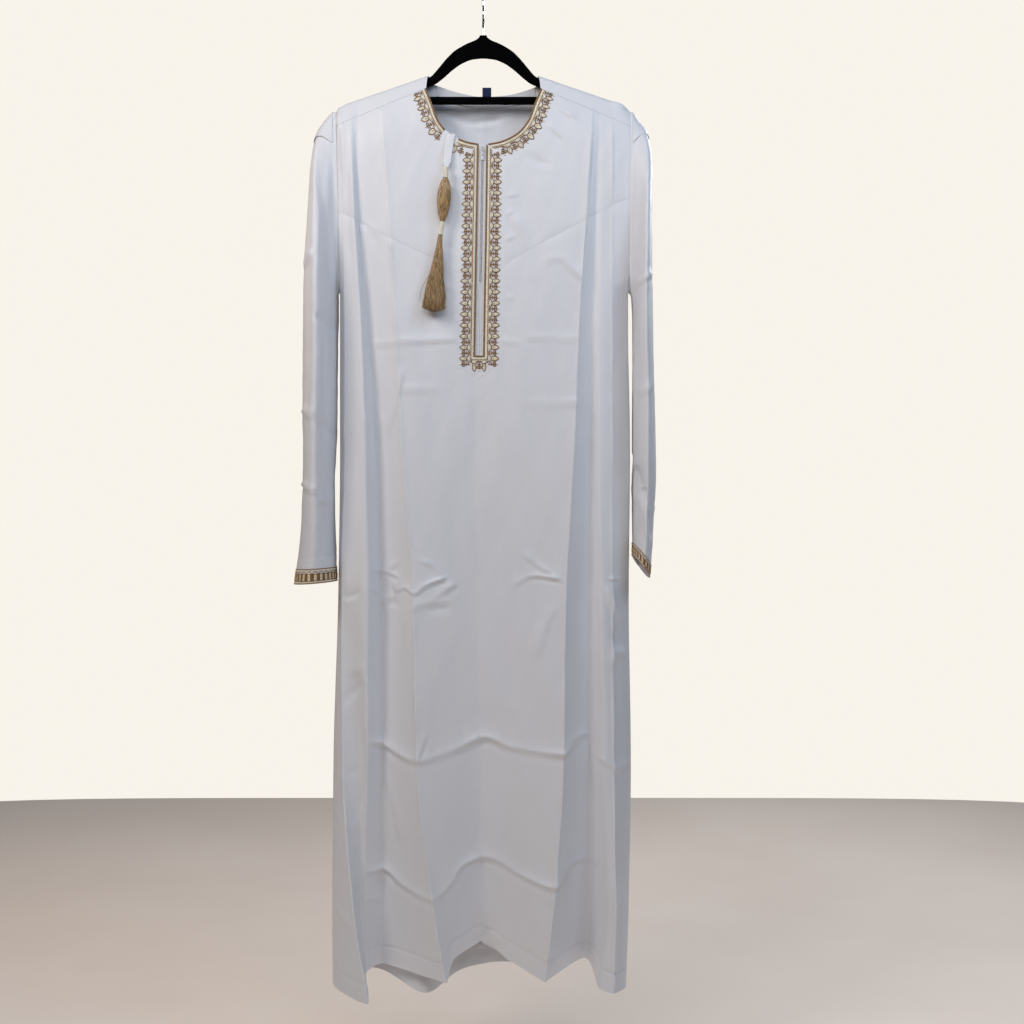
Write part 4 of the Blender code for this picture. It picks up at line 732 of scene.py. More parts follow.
def yoke(name, side, material):
    """The front above the chest seam; the shoulder seam and the neckline are its upper edge."""
    arm_top = smooth_value(LEVELS, side_fold(side), STRIP_END_DROP)
    neck = neck_points(side, 64)
    along = np.linspace(0.0, 1.0, 56)[:-1]
    seam_x = between(arm_top, neck[0, 0], along)
    tops = np.concatenate([np.stack([seam_x, shoulder_seam_drop(seam_x, SHOULDER_SEAM_FALL) + SEAM / 2.0], axis=-1),
                           neck])
    share = np.linspace(0.0, 1.0, len(tops))
    low_u = between(0.0 if side < 0 else len(FRONT_FOLDS) - 1.0, float(SLIT_LEFT if side < 0 else SLIT_RIGHT),
                    share ** 0.9)
    low_drop = seam_drops(low_u) - SEAM / 2.0
    if side > 0:
        low_drop = np.where(low_u <= SLIT_LEFT, low_drop, smooth_along(
            CHEST_SEAM_RIGHT, panel_points(FRONT_FOLDS, low_u, low_drop, -1)[:, 0]) - SEAM / 2.0)
    low_x = panel_points(FRONT_FOLDS, low_u, low_drop, -1)[:, 0]
    rows = 64
    shares = np.linspace(0.0, 1.0, rows) ** 1.25
    x = between(tops[:, :1], low_x[:, None], shares[None])
    drop = between(tops[:, 1:], low_drop[:, None], shares[None])
    x[-1] = slit_x(side, drop[-1])
    grid = FRONT_MAP.point(x.ravel(), drop.ravel()).reshape(len(tops), rows, 3)
    grid[0, :, 0] = smooth_value(LEVELS, side_fold(side), drop[0])
    grid[0, :, 1] = -armhole_depth(drop[0])
    if side > 0:
        grid = grid[::-1]
    arm = "first" if side < 0 else "last"
    grid, out = creased(grid, -1, FRONT_CREASES + PRESS_LINES, 5, (("bottom", 0.32), ("top", 0.32), (arm, 0.4)))
    return cloth_piece(name, grid, out, material)


def shoulder_strip(name, side, material):
    """The cloth over one shoulder, from the front seam over the ridge to the back seam."""
    edge = side_fold(side)
    columns, half = 54, 17
    share = np.linspace(0.0, 1.0, columns)
    grid = np.empty((columns, 2 * half + 1, 3))
    for j in range(2 * half + 1):
        turn = abs(j - half) / half
        front = j < half
        neck_front = NECK_CENTRE + side * NECKLINE[-1][0]
        neck_back = BACK_NECK[0][0] if side < 0 else BACK_NECK[-1][0]
        neck_x = between(side * NECK_HALF, neck_front if front else neck_back, turn)
        arm_x = float(smooth_value(LEVELS, edge, between(ARM_TOP, STRIP_END_DROP, turn)))
        x = between(neck_x, arm_x, share)
        falls = SHOULDER_SEAM_FALL if front else BACK_SEAM_FALL
        fall = shoulder_seam_drop(x, falls) - ridge_drop(x) - SEAM / 2.0
        drop = ridge_drop(x) + fall * (1.0 - math.cos(turn * math.pi / 2.0))
        y = (FRONT_MAP if front else BACK_MAP).y(x, drop) if j != half else np.zeros(columns)
        x[-1] = smooth_value(LEVELS, edge, drop[-1])
        y[-1] = math.copysign(armhole_depth(drop[-1]), j - half) if j != half else 0.0
        grid[:, j] = np.stack([x, y, -drop], axis=-1)
    if side < 0:
        grid = grid[::-1]
    outwards = np.zeros_like(grid)
    outwards[..., 1] = np.sign(grid[..., 1])
    outwards[..., 2] = 1.0
    return cloth_piece(name, grid, grid_normals(grid, outwards), material)


def sleeve_points(rings, place, angle):
    """Outer points of a sleeve; place counts the rings and angle turns from the outside to the front."""
    places = range(len(rings))
    v = [smooth_value(places, [ring[k] for ring in rings], place) for k in range(7)]
    side = math.copysign(1.0, rings[0].outer_x)
    turn = np.cos(angle)
    across = np.copysign(np.abs(turn) ** v[6], turn)
    depth = np.sin(angle)
    lean = v[5] * np.maximum(-depth, 0.0) ** 2 * side
    x = (v[0] + v[2]) / 2.0 + (v[0] - v[2]) / 2.0 * across + lean
    drop = (v[1] + v[3]) / 2.0 + (v[1] - v[3]) / 2.0 * across
    return np.stack([x, -v[4] * depth, -drop], axis=-1)


SleeveCrease = namedtuple("SleeveCrease", "name width height start end")
LEFT_SLEEVE_CREASES = tuple(SleeveCrease(*row) for row in (
    ("elbow", 4, 1.2, (-281, 666), (-259, 677)),
    ("elbow_low", 4, -1.0, (-256, 691), (-233, 701)),
    ("forearm", 4, 1.2, (-284, 780), (-258, 794)),
    ("forearm_low", 3.5, 1.0, (-256, 806), (-241, 811)),
    ("upper", 5, 0.9, (-279, 440), (-262, 420)),
    ("upper_low", 5, -0.8, (-258, 520), (-236, 541)),
    ("press", 7, 1.3, (-257, 330), (-259, 900)),
))
RIGHT_SLEEVE_CREASES = tuple(SleeveCrease(*row) for row in (
    ("fold_top", 6, -1.8, (238, 752), (247, 786)),
    ("fold_low", 6, -1.8, (247, 786), (262, 822)),
    ("fold_end", 5, -1.2, (262, 822), (266, 868)),
    ("elbow", 4, 0.9, (244, 640), (268, 628)),
    ("upper", 4, 0.8, (243, 470), (265, 452)),
))


def sleeve_height(creases, x, y, drop):
    """Creases run on both flat sides of the sleeve, shorter and lower on the back."""
    total = np.zeros_like(x)
    for index, crease in enumerate(creases):
        for facing, shift, amount in ((-1, 0.0, 1.0), (1, 21.0 - 9.0 * index, 0.7)):
            ax, ad = crease.start
            bx, bd = crease.end
            px, pd = x, drop + shift
            t = ((px - ax) * (bx - ax) + (pd - ad) * (bd - ad)) / ((bx - ax) ** 2 + (bd - ad) ** 2)
            held = np.clip(t, 0.0, 1.0)
            away = np.hypot(px - ax - held * (bx - ax), pd - ad - held * (bd - ad))
            on_side = smooth_step((y * facing + 6.0) / 24.0)
            below = np.sign(pd - ad - held * (bd - ad))
            fade = smooth_step(np.minimum(held, 1.0 - held) * 6.0 + 0.2)
            total += 0.95 * amount * crease_profile(crease, away, below) * on_side * fade
    return total


SLEEVE_CREASES = {-1: (LEFT_SLEEVE_CREASES, 3), 1: (RIGHT_SLEEVE_CREASES, 8)}


def sleeve(name, side, material):
    """One sleeve as a tube; its rows lie closer in the rounded head, and its ripples have their own seed."""
    rings = SLEEVES[side]
    creases, seed = SLEEVE_CREASES[side]
    sides, rows = 88, 174
    head_rings, head_rows = 5.0, 55
    place = np.concatenate([np.linspace(0.0, head_rings, head_rows + 1)[:-1],
                            np.linspace(head_rings, len(rings) - 1.0, rows - head_rows)])
    angle = np.linspace(0.0, 2.0 * np.pi, sides, endpoint=False)
    grid = sleeve_points(rings, np.tile(place, sides), np.repeat(angle, rows)).reshape(sides, rows, 3)
    grid[:, 0, 0] = smooth_value(LEVELS, side_fold(side), -grid[:, 0, 2]) + side * SEAM
    middle = grid.mean(axis=0, keepdims=True)
    wrapped = np.concatenate([grid[-1:], grid, grid[:1]])
    out = grid_normals(wrapped, wrapped - middle)[1:-1]
    x, y, drop = (grid * (1, 1, -1)).reshape(-1, 3).T
    lift = sleeve_height(creases, x, y, drop) + 1.3 * flow_ripples(x * 2.0 + y, drop, seed)
    lift = lift.reshape(sides, rows)
    down = run_lengths(grid, 1)
    lift *= smooth_step(down / 22.0) * smooth_step((down[:, -1:] - down - 26.0) / 18.0)
    lift -= 0.5 * np.exp(-(down / 1.6) ** 2) + 0.7 * np.exp(-((down[:, -1:] - down - CUFF_FACING) / 2.2) ** 2)
    grid = grid + out * lift[..., None]
    return cloth_piece(name, grid, out, material, closed=True), grid, out


def cap(name, side, material):
    """The pointed patch over the head of a sleeve."""
    rings = SLEEVES[side]
    columns, rows = 41, 22
    turned = np.linspace(-1.0, 1.0, columns)
    reach = 1.35 + (3.5 - 1.35) * (1.0 - np.abs(turned) ** 1.5)
    place = between(1.15, reach[:, None], np.linspace(0.0, 1.0, rows)[None])
    angle = np.repeat(math.radians(50.0) * turned, rows)
    grid = sleeve_points(rings, place.ravel(), angle).reshape(columns, rows, 3)
    centre = sleeve_points(rings, place.ravel(), angle + np.pi).reshape(columns, rows, 3)
    out = grid_normals(grid, grid - centre)
    return cloth_piece(name, grid + out * 1.25, out, material, thickness=THIN_WALL)


# Finishes
FULL_TURN = 6.28318
DOT_RADIUS = 0.0009


class Net:
    """A node tree with short ways to add to it; each gives back the new node's output."""

    def __init__(self, tree):
        self.tree = tree

    def join(self, source, target):
        self.tree.links.new(source, target)

    def add(self, kind, values=(), out=0, **settings):
        """A node with its settings made, and its inputs set from values or linked from sockets."""
        node = self.tree.nodes.new(kind)
        for name, value in settings.items():
            setattr(node, name, value)
        for label, value in dict(values).items():
            if isinstance(value, bpy.types.NodeSocket):
                self.join(value, node.inputs[label])
            else:
                node.inputs[label].default_value = value
        return node.outputs[out]

    def calc(self, operation, *values):
        return self.add("ShaderNodeMath", dict(enumerate(values)), operation=operation)

    def blend(self, *parts):
        """The sum of several values, each given with its weight."""
        total, *others = [self.calc("MULTIPLY", *part) for part in parts]
        for other in others:
            total = self.calc("ADD", total, other)
        return total

    def place(self, kind="Object"):
        return self.add("ShaderNodeTexCoord", out=kind)

    def part(self, vector, axis):
        return self.add("ShaderNodeSeparateXYZ", {0: vector}, axis)

    def noise(self, place, scale, detail=3.0, rough=0.5, stretch=None):
        if stretch:
            place = self.add("ShaderNodeMapping", {"Vector": place, "Scale": stretch})
        return self.add("ShaderNodeTexNoise", {"Vector": place, "Scale": scale, "Detail": detail, "Roughness": rough},
                        "Fac")

    def tones(self, value, low, high):
        """A colour that runs between two, each given as (value, colour)."""
        colour = self.add("ShaderNodeValToRGB", {0: value})
        for stop, (place, tint) in zip(colour.node.color_ramp.elements, (low, high)):
            stop.position, stop.color = place, (*tint, 1.0)
        return colour


def node_group(name, kind, inputs, outputs):
    """A node group; an input is given by its usual value or its kind. Returns its net and its two ends."""
    tree = bpy.data.node_groups.new(name, kind + "NodeTree")
    for label, value in inputs.items():
        socket_kind = value if isinstance(value, str) else "Int" if isinstance(value, int) else "Float"
        socket = tree.interface.new_socket(name=label, in_out="INPUT", socket_type="NodeSocket" + socket_kind)
        if not isinstance(value, str):
            socket.default_value = value
    for label, socket_kind in outputs.items():
        tree.interface.new_socket(name=label, in_out="OUTPUT", socket_type="NodeSocket" + socket_kind)
    return Net(tree), tree.nodes.new("NodeGroupInput").outputs, tree.nodes.new("NodeGroupOutput").inputs


def weave_group():
    """Crossing threads by the cloth's own lengths, with slubs; puts out a height and a tone."""
    net, given, put = node_group("woven_threads", "Shader", {"Threads per Metre": 2200.0, "Warp Float": 3.0,
                                                             "Slub": 0.35}, {"Height": "Float", "Tone": "Float"})
    place = net.place("UV")
    count = net.calc("MULTIPLY", given["Threads per Metre"], FULL_TURN)
    across, down = (net.calc("MULTIPLY", net.part(place, axis), count) for axis in "XY")
    warp = net.calc("ABSOLUTE", net.calc("SINE", net.calc("MULTIPLY", across, 0.5)))
    step = net.calc("MULTIPLY", net.calc("FLOOR", net.calc("DIVIDE", across, FULL_TURN)), 2.5)
    dip = net.calc("SINE", net.calc("ADD", net.calc("DIVIDE", down, given["Warp Float"]), step))
    over = net.calc("MULTIPLY", warp, net.calc("ADD", net.calc("MULTIPLY", dip, 0.3), 0.7))
    slubs = net.noise(place, 60.0, 4.0, 0.6, (1.0, 9.0, 1.0))
    net.join(net.calc("ADD", over, net.calc("MULTIPLY", slubs, given["Slub"])), put["Height"])
    net.join(slubs, put["Tone"])
    return net.tree


def unevenness_group():
    """Broad soft changes over a piece: a tone for its colour and a shallow height for handled cloth."""
    net, given, put = node_group("soft_unevenness", "Shader", {"Broad Scale": 3.0, "Crinkle Scale": 45.0},
                                 {"Tone": "Float", "Crinkle": "Float"})
    place = net.place()
    net.join(net.noise(place, given["Broad Scale"], 2.0, 0.5, (1.0, 1.0, 0.45)), put["Tone"])
    net.join(net.noise(place, given["Crinkle Scale"], 3.0, 0.55, (1.3, 1.3, 0.6)), put["Crinkle"])
    return net.tree


def twist_group():
    """Plied yarn: bands that wind round a thread, from its own lengths along and round it."""
    net, given, put = node_group("plied_yarn", "Shader", {"Turns per Metre": 700.0, "Plies": 2.0},
                                 {"Height": "Float", "Tone": "Float"})
    place = net.add("ShaderNodeAttribute", out="Vector", attribute_name="thread_place")
    turned = net.blend((net.part(place, "X"), given["Turns per Metre"]), (net.part(place, "Y"), given["Plies"]))
    wave = net.calc("SINE", net.calc("MULTIPLY", turned, FULL_TURN))
    net.join(net.calc("ADD", net.calc("MULTIPLY", wave, 0.5), 0.5), put["Height"])
    net.join(net.noise(net.place(), 420.0, 3.0, 0.6), put["Tone"])
    return net.tree


WEAVE = weave_group()
UNEVEN = unevenness_group()
TWIST = twist_group()


class Finish(Net):
    """A material with its Principled shader, and what varies over its surface."""

    def __init__(self, name, roughness, metallic=0.0, sheen=0.0, sheen_rough=0.4, specular=0.5):
        self.material = bpy.data.materials.new(name)
        self.material.use_nodes = True
        super().__init__(self.material.node_tree)
        self.surface = self.tree.nodes["Principled BSDF"].inputs
        for label, value in (("Roughness", roughness), ("Metallic", metallic), ("Sheen Weight", sheen),
                             ("Sheen Roughness", sheen_rough), ("Specular IOR Level", specular)):
            self.surface[label].default_value = value

    def group(self, tree, **values):
        named = {label.replace("_", " "): value for label, value in values.items()}
        return self.add("ShaderNodeGroup", named, node_tree=tree).node.outputs

    def paint(self, value, dark, light):
        self.join(self.tones(value, dark, light), self.surface["Base Color"])

    def shine(self, tone, low, high):
        self.join(self.add("ShaderNodeMapRange", {"Value": tone, "To Min": low, "To Max": high}),
                  self.surface["Roughness"])

    def rise(self, *heights):
        """Bumps one on another, each as (height, distance in metres, strength)."""
        under = {}
        for height, distance, strength in heights:
            normal = self.add("ShaderNodeBump", {"Height": height, "Distance": distance, "Strength": strength,
                                                 **under})
            under = {"Normal": normal}
        self.join(normal, self.surface["Normal"])


def cloth_finish(name, light, dark, gloss):
    """White satin-faced suiting: close warp floats, a soft shine, faint changes of tone."""
    look = Finish(name, gloss, sheen=0.12, sheen_rough=0.35, specular=0.42)
    weave = look.group(WEAVE, Threads_per_Metre=2200.0, Warp_Float=4.0, Slub=0.4)
    soft = look.group(UNEVEN, Broad_Scale=3.2, Crinkle_Scale=38.0)
    look.paint(look.blend((soft["Tone"], 0.75), (weave["Tone"], 0.25)), (0.25, dark), (0.75, light))
    look.shine(weave["Tone"], gloss - 0.06, gloss + 0.08)
    look.rise((soft["Crinkle"], 0.0011, 0.55), (weave["Height"], 0.00006, 0.5))
    return look.material


def yarn_finish(name, dark, light, gloss):
    """Plied rayon embroidery yarn and sewing thread, with a sheen along it; its colour is painted darker where the
    twist dips, as shade in the grooves between the plies.
    """
    look = Finish(name, gloss, sheen=0.25, sheen_rough=0.3)
    twist = look.group(TWIST, Turns_per_Metre=700.0, Plies=2.0)
    # painted shade: the colour follows the twist's height, so the grooves between the plies get the dark colour
    look.paint(look.blend((twist["Height"], 0.45), (twist["Tone"], 0.55)), (0.2, dark), (0.8, light))
    look.shine(twist["Tone"], gloss - 0.1, gloss + 0.12)
    look.rise((twist["Height"], 0.00012, 0.7))
    return look.material


def strand_finish(name, dark, light, gloss):
    """Silky cut yarn: each strand has its own tone, and the gaps between the strands are painted darker, as shade."""
    look = Finish(name, gloss, sheen=0.2, sheen_rough=0.3)
    place = look.place()
    strands = look.noise(place, 1500.0, 2.0, 0.5, (1.0, 1.0, 0.016))
    tufts = look.noise(place, 330.0, 2.0, 0.5, (1.0, 1.0, 0.05))
    twist = look.group(TWIST, Turns_per_Metre=420.0, Plies=2.0)
    # painted shade: the low places of the strand noise, which are also the bump's hollows, get the dark colour
    look.paint(look.blend((strands, 0.76), (tufts, 0.18), (twist["Height"], 0.06)), (0.37, dark), (0.62, light))
    look.shine(strands, gloss - 0.1, gloss + 0.14)
    look.rise((strands, 0.0004, 0.6), (twist["Height"], 0.00008, 0.5))
    return look.material


def velvet_finish(name):
    """Black flock on a hanger: matt, with short-pile mottling."""
    look = Finish(name, 0.95, sheen=0.004, sheen_rough=0.5, specular=0.0)
    place = look.place()
    pile = look.noise(place, 900.0, 4.0, 0.65)
    nap = look.noise(place, 40.0, 2.0, 0.5)
    look.paint(look.blend((pile, 0.6), (nap, 0.4)), (0.3, (0.0008, 0.0008, 0.0010)), (0.75, (0.0042, 0.0042, 0.0046)))
    look.rise((pile, 0.0004, 0.6))
    return look.material


def chrome_finish(name):
    """Bright plated wire, faintly rubbed."""
    look = Finish(name, 0.16, metallic=1.0)
    rubbed = look.noise(look.place(), 300.0, 4.0, 0.6, (1.0, 1.0, 0.12))
    look.paint(rubbed, (0.3, (0.52, 0.52, 0.54)), (0.7, (0.78, 0.78, 0.79)))
    look.shine(rubbed, 0.1, 0.3)
    look.rise((rubbed, 0.00004, 0.4))
    return look.material


def enamel_finish(name, dots):
    """White coated zip parts, a little uneven, with a hole at each dot, as (x, z) in metres, painted as a small dark
    disc of shade.
    """
    look = Finish(name, 0.32)
    place = look.place()
    coat = look.noise(place, 500.0, 3.0, 0.6)
    colour = look.tones(coat, (0.3, (0.58, 0.60, 0.63)), (0.7, (0.76, 0.77, 0.79)))
    for x, z in dots:
        away = look.add("ShaderNodeVectorMath", {0: place, 1: (x, 0.0, z)}, operation="SUBTRACT")
        flat = look.add("ShaderNodeVectorMath", {0: away, 1: (1.0, 0.0, 1.0)}, operation="MULTIPLY")
        size = look.add("ShaderNodeVectorMath", {0: flat}, "Value", operation="LENGTH")
        # painted shade: a near-black disc stands in for the depth of each hole
        hole = look.add("ShaderNodeMapRange", {"Value": size, "From Min": DOT_RADIUS * 1.25, "From Max": DOT_RADIUS})
        colour = look.add("ShaderNodeMix", {"Factor": hole, "A": colour, "B": (0.03, 0.03, 0.04, 1.0)}, "Result",
                          data_type="RGBA")
    look.join(colour, look.surface["Base Color"])
    look.shine(coat, 0.24, 0.42)
    look.rise((coat, 0.00005, 0.4))
    return look.material


def label_finish(name):
    """Navy damask label, closely woven."""
    look = Finish(name, 0.7, sheen=0.03, specular=0.25)
    place = look.place()
    ribs = look.add("ShaderNodeTexWave", {"Vector": place, "Scale": 700.0, "Distortion": 0.6}, "Fac",
                    bands_direction="Z")
    mixed = look.blend((ribs, 0.6), (look.noise(place, 1400.0, 2.0), 0.4))
    look.paint(mixed, (0.2, (0.004, 0.007, 0.036)), (0.8, (0.013, 0.021, 0.085)))
    look.rise((mixed, 0.00012, 0.6))
    return look.material


CLOTH = cloth_finish("white_suiting", (0.770, 0.780, 0.805), (0.720, 0.732, 0.765), 0.45)
CLOTH_INSIDE = cloth_finish("white_facing", (0.76, 0.765, 0.785), (0.71, 0.715, 0.745), 0.55)
TAPE_CLOTH = cloth_finish("zip_tape_weave", (0.74, 0.745, 0.76), (0.64, 0.645, 0.66), 0.6)
# Each yarn's dark colour falls partly in the twist's grooves as painted shade, partly as its own uneven tone
BROWN = yarn_finish("brown_yarn", (0.165, 0.078, 0.024), (0.420, 0.235, 0.095), 0.45)
CREAM = yarn_finish("cream_yarn", (0.80, 0.735, 0.55), (0.99, 0.965, 0.85), 0.40)
GOLD = yarn_finish("golden_yarn", (0.46, 0.31, 0.11), (0.78, 0.62, 0.34), 0.38)
WHITE_YARN = yarn_finish("white_sewing_thread", (0.62, 0.63, 0.66), (0.80, 0.81, 0.83), 0.45)
# The tassel's dark colour is partly painted shade for the gaps between strands, partly the yarn's own tone
TASSEL = strand_finish("tassel_yarn", (0.085, 0.042, 0.012), (0.640, 0.420, 0.190), 0.34)
VELVET = velvet_finish("black_flock")
CHROME = chrome_finish("bright_plating")
NAVY = label_finish("navy_label_weave")
# Where the painted shade of each hole goes on the slider and the pull, in metres
SLIDER_HOLE = (-0.0007, -0.2490)
PULL_HOLE = (-0.0007, -0.2615)
SLIDER_WHITE = enamel_finish("white_slider_coat", (SLIDER_HOLE,))
PULL_WHITE = enamel_finish("white_pull_coat", (SLIDER_HOLE, PULL_HOLE))


# Threads, laid along lines by Geometry Nodes
def kept_along(net, curve, name, measure):
    """Keeps a measure of each point's place along a curve; gives back the curve and that measure."""
    keep = net.tree.nodes.new("GeometryNodeCaptureAttribute")
    keep.capture_items.new("FLOAT", name)
    net.join(curve, keep.inputs[0])
    net.join(net.add("GeometryNodeSplineParameter", out=measure), keep.inputs[1])
    return keep.outputs[0], keep.outputs[1]


def swept(net, line, along, width, sides):
    """A round tube over each curve, with its place along and round the thread stored for the finish."""
    circle = net.add("GeometryNodeCurvePrimitiveCircle", {"Resolution": sides, "Radius": 1.0})
    ring, turn = kept_along(net, circle, "turn", "Factor")
    tube = net.add("GeometryNodeCurveToMesh", {"Curve": line, "Profile Curve": ring, "Scale": width,
                                               "Fill Caps": True})
    both = net.add("ShaderNodeCombineXYZ", {0: along, 1: turn})
    store = net.add("GeometryNodeStoreNamedAttribute", data_type="FLOAT_VECTOR").node
    store.inputs["Name"].default_value = "thread_place"
    net.join(tube, store.inputs["Geometry"])
    net.join(both, store.inputs["Value"])
    return store.outputs[0]


def closing(net, geometry, yarn, put):
    real = net.add("GeometryNodeRealizeInstances", {0: geometry})
    smooth = net.add("GeometryNodeSetShadeSmooth", {0: real})
    net.join(net.add("GeometryNodeSetMaterial", {"Geometry": smooth, "Material": yarn}), put[0])
    return net.tree


def thread_tree():
    """Lines with a radius at each point become round threads."""
    net, given, put = node_group("threads_along_lines", "Geometry", {"Lines": "Geometry", "Sides": 6,
                                                                     "Yarn": "Material"}, {"Threads": "Geometry"})
    curve = net.add("GeometryNodeMeshToCurve", {0: given["Lines"]})
    line, along = kept_along(net, curve, "along", "Length")
    width = net.add("GeometryNodeInputNamedAttribute", {"Name": "thread_radius"})
    return closing(net, swept(net, line, along, width, given["Sides"]), given["Yarn"], put)


def stitch_tree():
    """Even stitches along lines on the cloth, each an arched thread whose ends go into it."""
    net, given, put = node_group(
        "row_of_stitches", "Geometry", {"Lines": "Geometry", "Pitch": 0.0032, "Stitch Length": 0.0025,
                                        "Thread Radius": 0.0003, "Yarn": "Material"}, {"Stitches": "Geometry"})
    corners = {}
    for name, along, up in (("Start", -0.5, -0.9), ("Middle", 0.0, 1.6), ("End", 0.5, -0.9)):
        corners[name] = net.add("ShaderNodeCombineXYZ", {0: net.calc("MULTIPLY", given["Stitch Length"], along),
                                                         2: net.calc("MULTIPLY", given["Thread Radius"], up)})
    arch = net.add("GeometryNodeCurveQuadraticBezier", {"Resolution": 4, **corners})
    line, along = kept_along(net, arch, "along", "Length")
    stitch = swept(net, line, along, given["Thread Radius"], net.add("FunctionNodeInputInt", integer=5))
    curve = net.add("GeometryNodeMeshToCurve", {0: given["Lines"]})
    steps = net.add("GeometryNodeResampleCurve", {"Curve": curve, "Length": given["Pitch"]}, mode="LENGTH")
    facing = net.add("GeometryNodeInputNamedAttribute", data_type="FLOAT_VECTOR")
    facing.node.inputs["Name"].default_value = "cloth_out"
    run = net.add("FunctionNodeAlignRotationToVector", {"Vector": net.add("GeometryNodeInputTangent")}, axis="X")
    stand = net.add("FunctionNodeAlignRotationToVector", {"Rotation": run, "Vector": facing}, axis="Z",
                    pivot_axis="X")
    dots = net.add("GeometryNodeInstanceOnPoints", {"Points": steps, "Instance": stitch, "Rotation": stand})
    return closing(net, dots, given["Yarn"], put)


THREADS = thread_tree()
STITCHES = stitch_tree()


class Lines:
    """Open lines in millimetres, with a radius and a facing at each point, gathered for one piece."""

    def __init__(self):
        self.points, self.radii, self.facing, self.edges, self.count = [], [], [], [], 0

    def add(self, points, radius=0.5, facing=(0.0, 0.0, 0.0)):
        many = len(points)
        self.points.append(np.asarray(points, float))
        self.radii.append(np.broadcast_to(np.asarray(radius, float), many))
        self.facing.append(np.broadcast_to(facing, (many, 3)))
        first = np.arange(self.count, self.count + many - 1)
        self.edges.append(np.stack([first, first + 1], axis=-1))
        self.count += many

    def piece(self, name, tree, **values):
        """Runs a tree over the lines and keeps the result as a plain mesh piece."""
        mesh = bpy.data.meshes.new(name + "_lines")
        edges = np.concatenate(self.edges)
        mesh.vertices.add(self.count)
        mesh.vertices.foreach_set("co", (np.concatenate(self.points) * MM).ravel())
        mesh.edges.add(len(edges))
        mesh.edges.foreach_set("vertices", edges.astype(np.int32).ravel())
        for label, kind, field, held in (("thread_radius", "FLOAT", "value", np.concatenate(self.radii) * MM),
                                         ("cloth_out", "FLOAT_VECTOR", "vector", np.concatenate(self.facing))):
            mesh.attributes.new(label, kind, "POINT").data.foreach_set(field, held.astype(np.float32).ravel())
        mesh.update()
        holder = placed_object(name + "_lines", mesh)
        modifier = holder.modifiers.new("made", "NODES")
        modifier.node_group = tree
        named = {item.name: item.identifier for item in tree.interface.items_tree if item.in_out == "INPUT"}
        for label, value in values.items():
            modifier[named[label.replace("_", " ")]] = value
        made = evaluated_mesh(name, holder)
        bpy.data.objects.remove(holder)
        for spare in ("thread_radius", "cloth_out"):
            if spare in made.attributes:
                made.attributes.remove(made.attributes[spare])
        return placed_object(name, made)

    def threads(self, name, yarn, sides=5):
        return self.piece(name, THREADS, Sides=sides, Yarn=yarn)

    def stitches(self, name, pitch=3.2, length=2.5, radius=0.32):
        return self.piece(name, STITCHES, Pitch=pitch * MM, Stitch_Length=length * MM,
                          Thread_Radius=radius * MM, Yarn=WHITE_YARN)


# Embroidery, by its length s along the braid and its reach t out from the edge
class SlitRun:
    """Braid down one edge of the slit."""

    def __init__(self, side):
        self.side = side
        self.top = NECKLINE[0][1] + 0.5
        self.length = SLIT_BOTTOM - self.top

    def place(self, s, t, lift=0.0):
        s, t = np.broadcast_arrays(np.asarray(s, float), np.asarray(t, float))
        drop = self.top + s
        return FRONT_MAP.point(slit_x(self.side, drop) + self.side * t, drop, lift)


class FootRun:
    """Braid across the bottom of the slit; s runs from its left corner to its right."""

    def __init__(self):
        self.left = float(slit_x(-1, SLIT_BOTTOM))
        self.length = float(slit_x(1, SLIT_BOTTOM)) - self.left

    def place(self, s, t, lift=0.0):
        s, t = np.broadcast_arrays(np.asarray(s, float), np.asarray(t, float))
        return FRONT_MAP.point(self.left + s, SLIT_BOTTOM + t, lift)


class NeckRun:
    """Braid along one side of the front neckline, from the shoulder seam to the slit."""

    def __init__(self, side):
        self.side = side
        fine = neck_points(side, 241)
        self.at = run_lengths(fine)
        self.length = self.at[-1]
        self.fine = fine
        along = unit(np.gradient(fine, axis=0))
        out = np.stack([along[:, 1], -along[:, 0]], axis=-1) * side
        out *= np.where(out[:, 1:] < 0.0, -1.0, 1.0)
        leaning = smooth_step(1.0 - self.at / 16.0)[:, None]
        self.out = unit(out * (1.0 - leaning) + np.array((side * 0.91, 0.42)) * leaning)

    def place(self, s, t, lift=0.0):
        s, t = np.broadcast_arrays(np.asarray(s, float), np.asarray(t, float))
        x = np.interp(s, self.at, self.fine[:, 0]) + np.interp(s, self.at, self.out[:, 0]) * t
        drop = np.interp(s, self.at, self.fine[:, 1]) + np.interp(s, self.at, self.out[:, 1]) * t
        return FRONT_MAP.point(x, drop, lift)


class CuffRun:
    """Braid round the end of a sleeve; s runs round from the outer side, t up from the hem."""

    def __init__(self, rings):
        self.rings = rings
        self.end = len(rings) - 1.0
        angle = np.linspace(0.0, 2.0 * np.pi, 721)
        ring = sleeve_points(rings, np.full(721, self.end - 0.4), angle)
        self.at = run_lengths(ring)
        self.angle = angle
        self.length = self.at[-1]

    def place(self, s, t, lift=0.0):
        s, t = np.broadcast_arrays(np.asarray(s, float), np.asarray(t, float))
        angle = np.interp(np.mod(s, self.length), self.at, self.angle)
        where = self.end - t / 31.0
        here = sleeve_points(self.rings, where.ravel(), angle.ravel())
        round_ = sleeve_points(self.rings, where.ravel(), angle.ravel() + 0.01) - here
        up = here - sleeve_points(self.rings, where.ravel() - 0.02, angle.ravel())
        out = unit(np.cross(round_, up))
        middle = (here + sleeve_points(self.rings, where.ravel(), angle.ravel() + np.pi)) / 2.0
        out *= np.sign((out * (here - middle)).sum(axis=-1, keepdims=True))
        lift = np.broadcast_to(np.asarray(lift, float), s.shape).reshape(-1, 1)
        return (here + out * lift).reshape(*s.shape, 3)


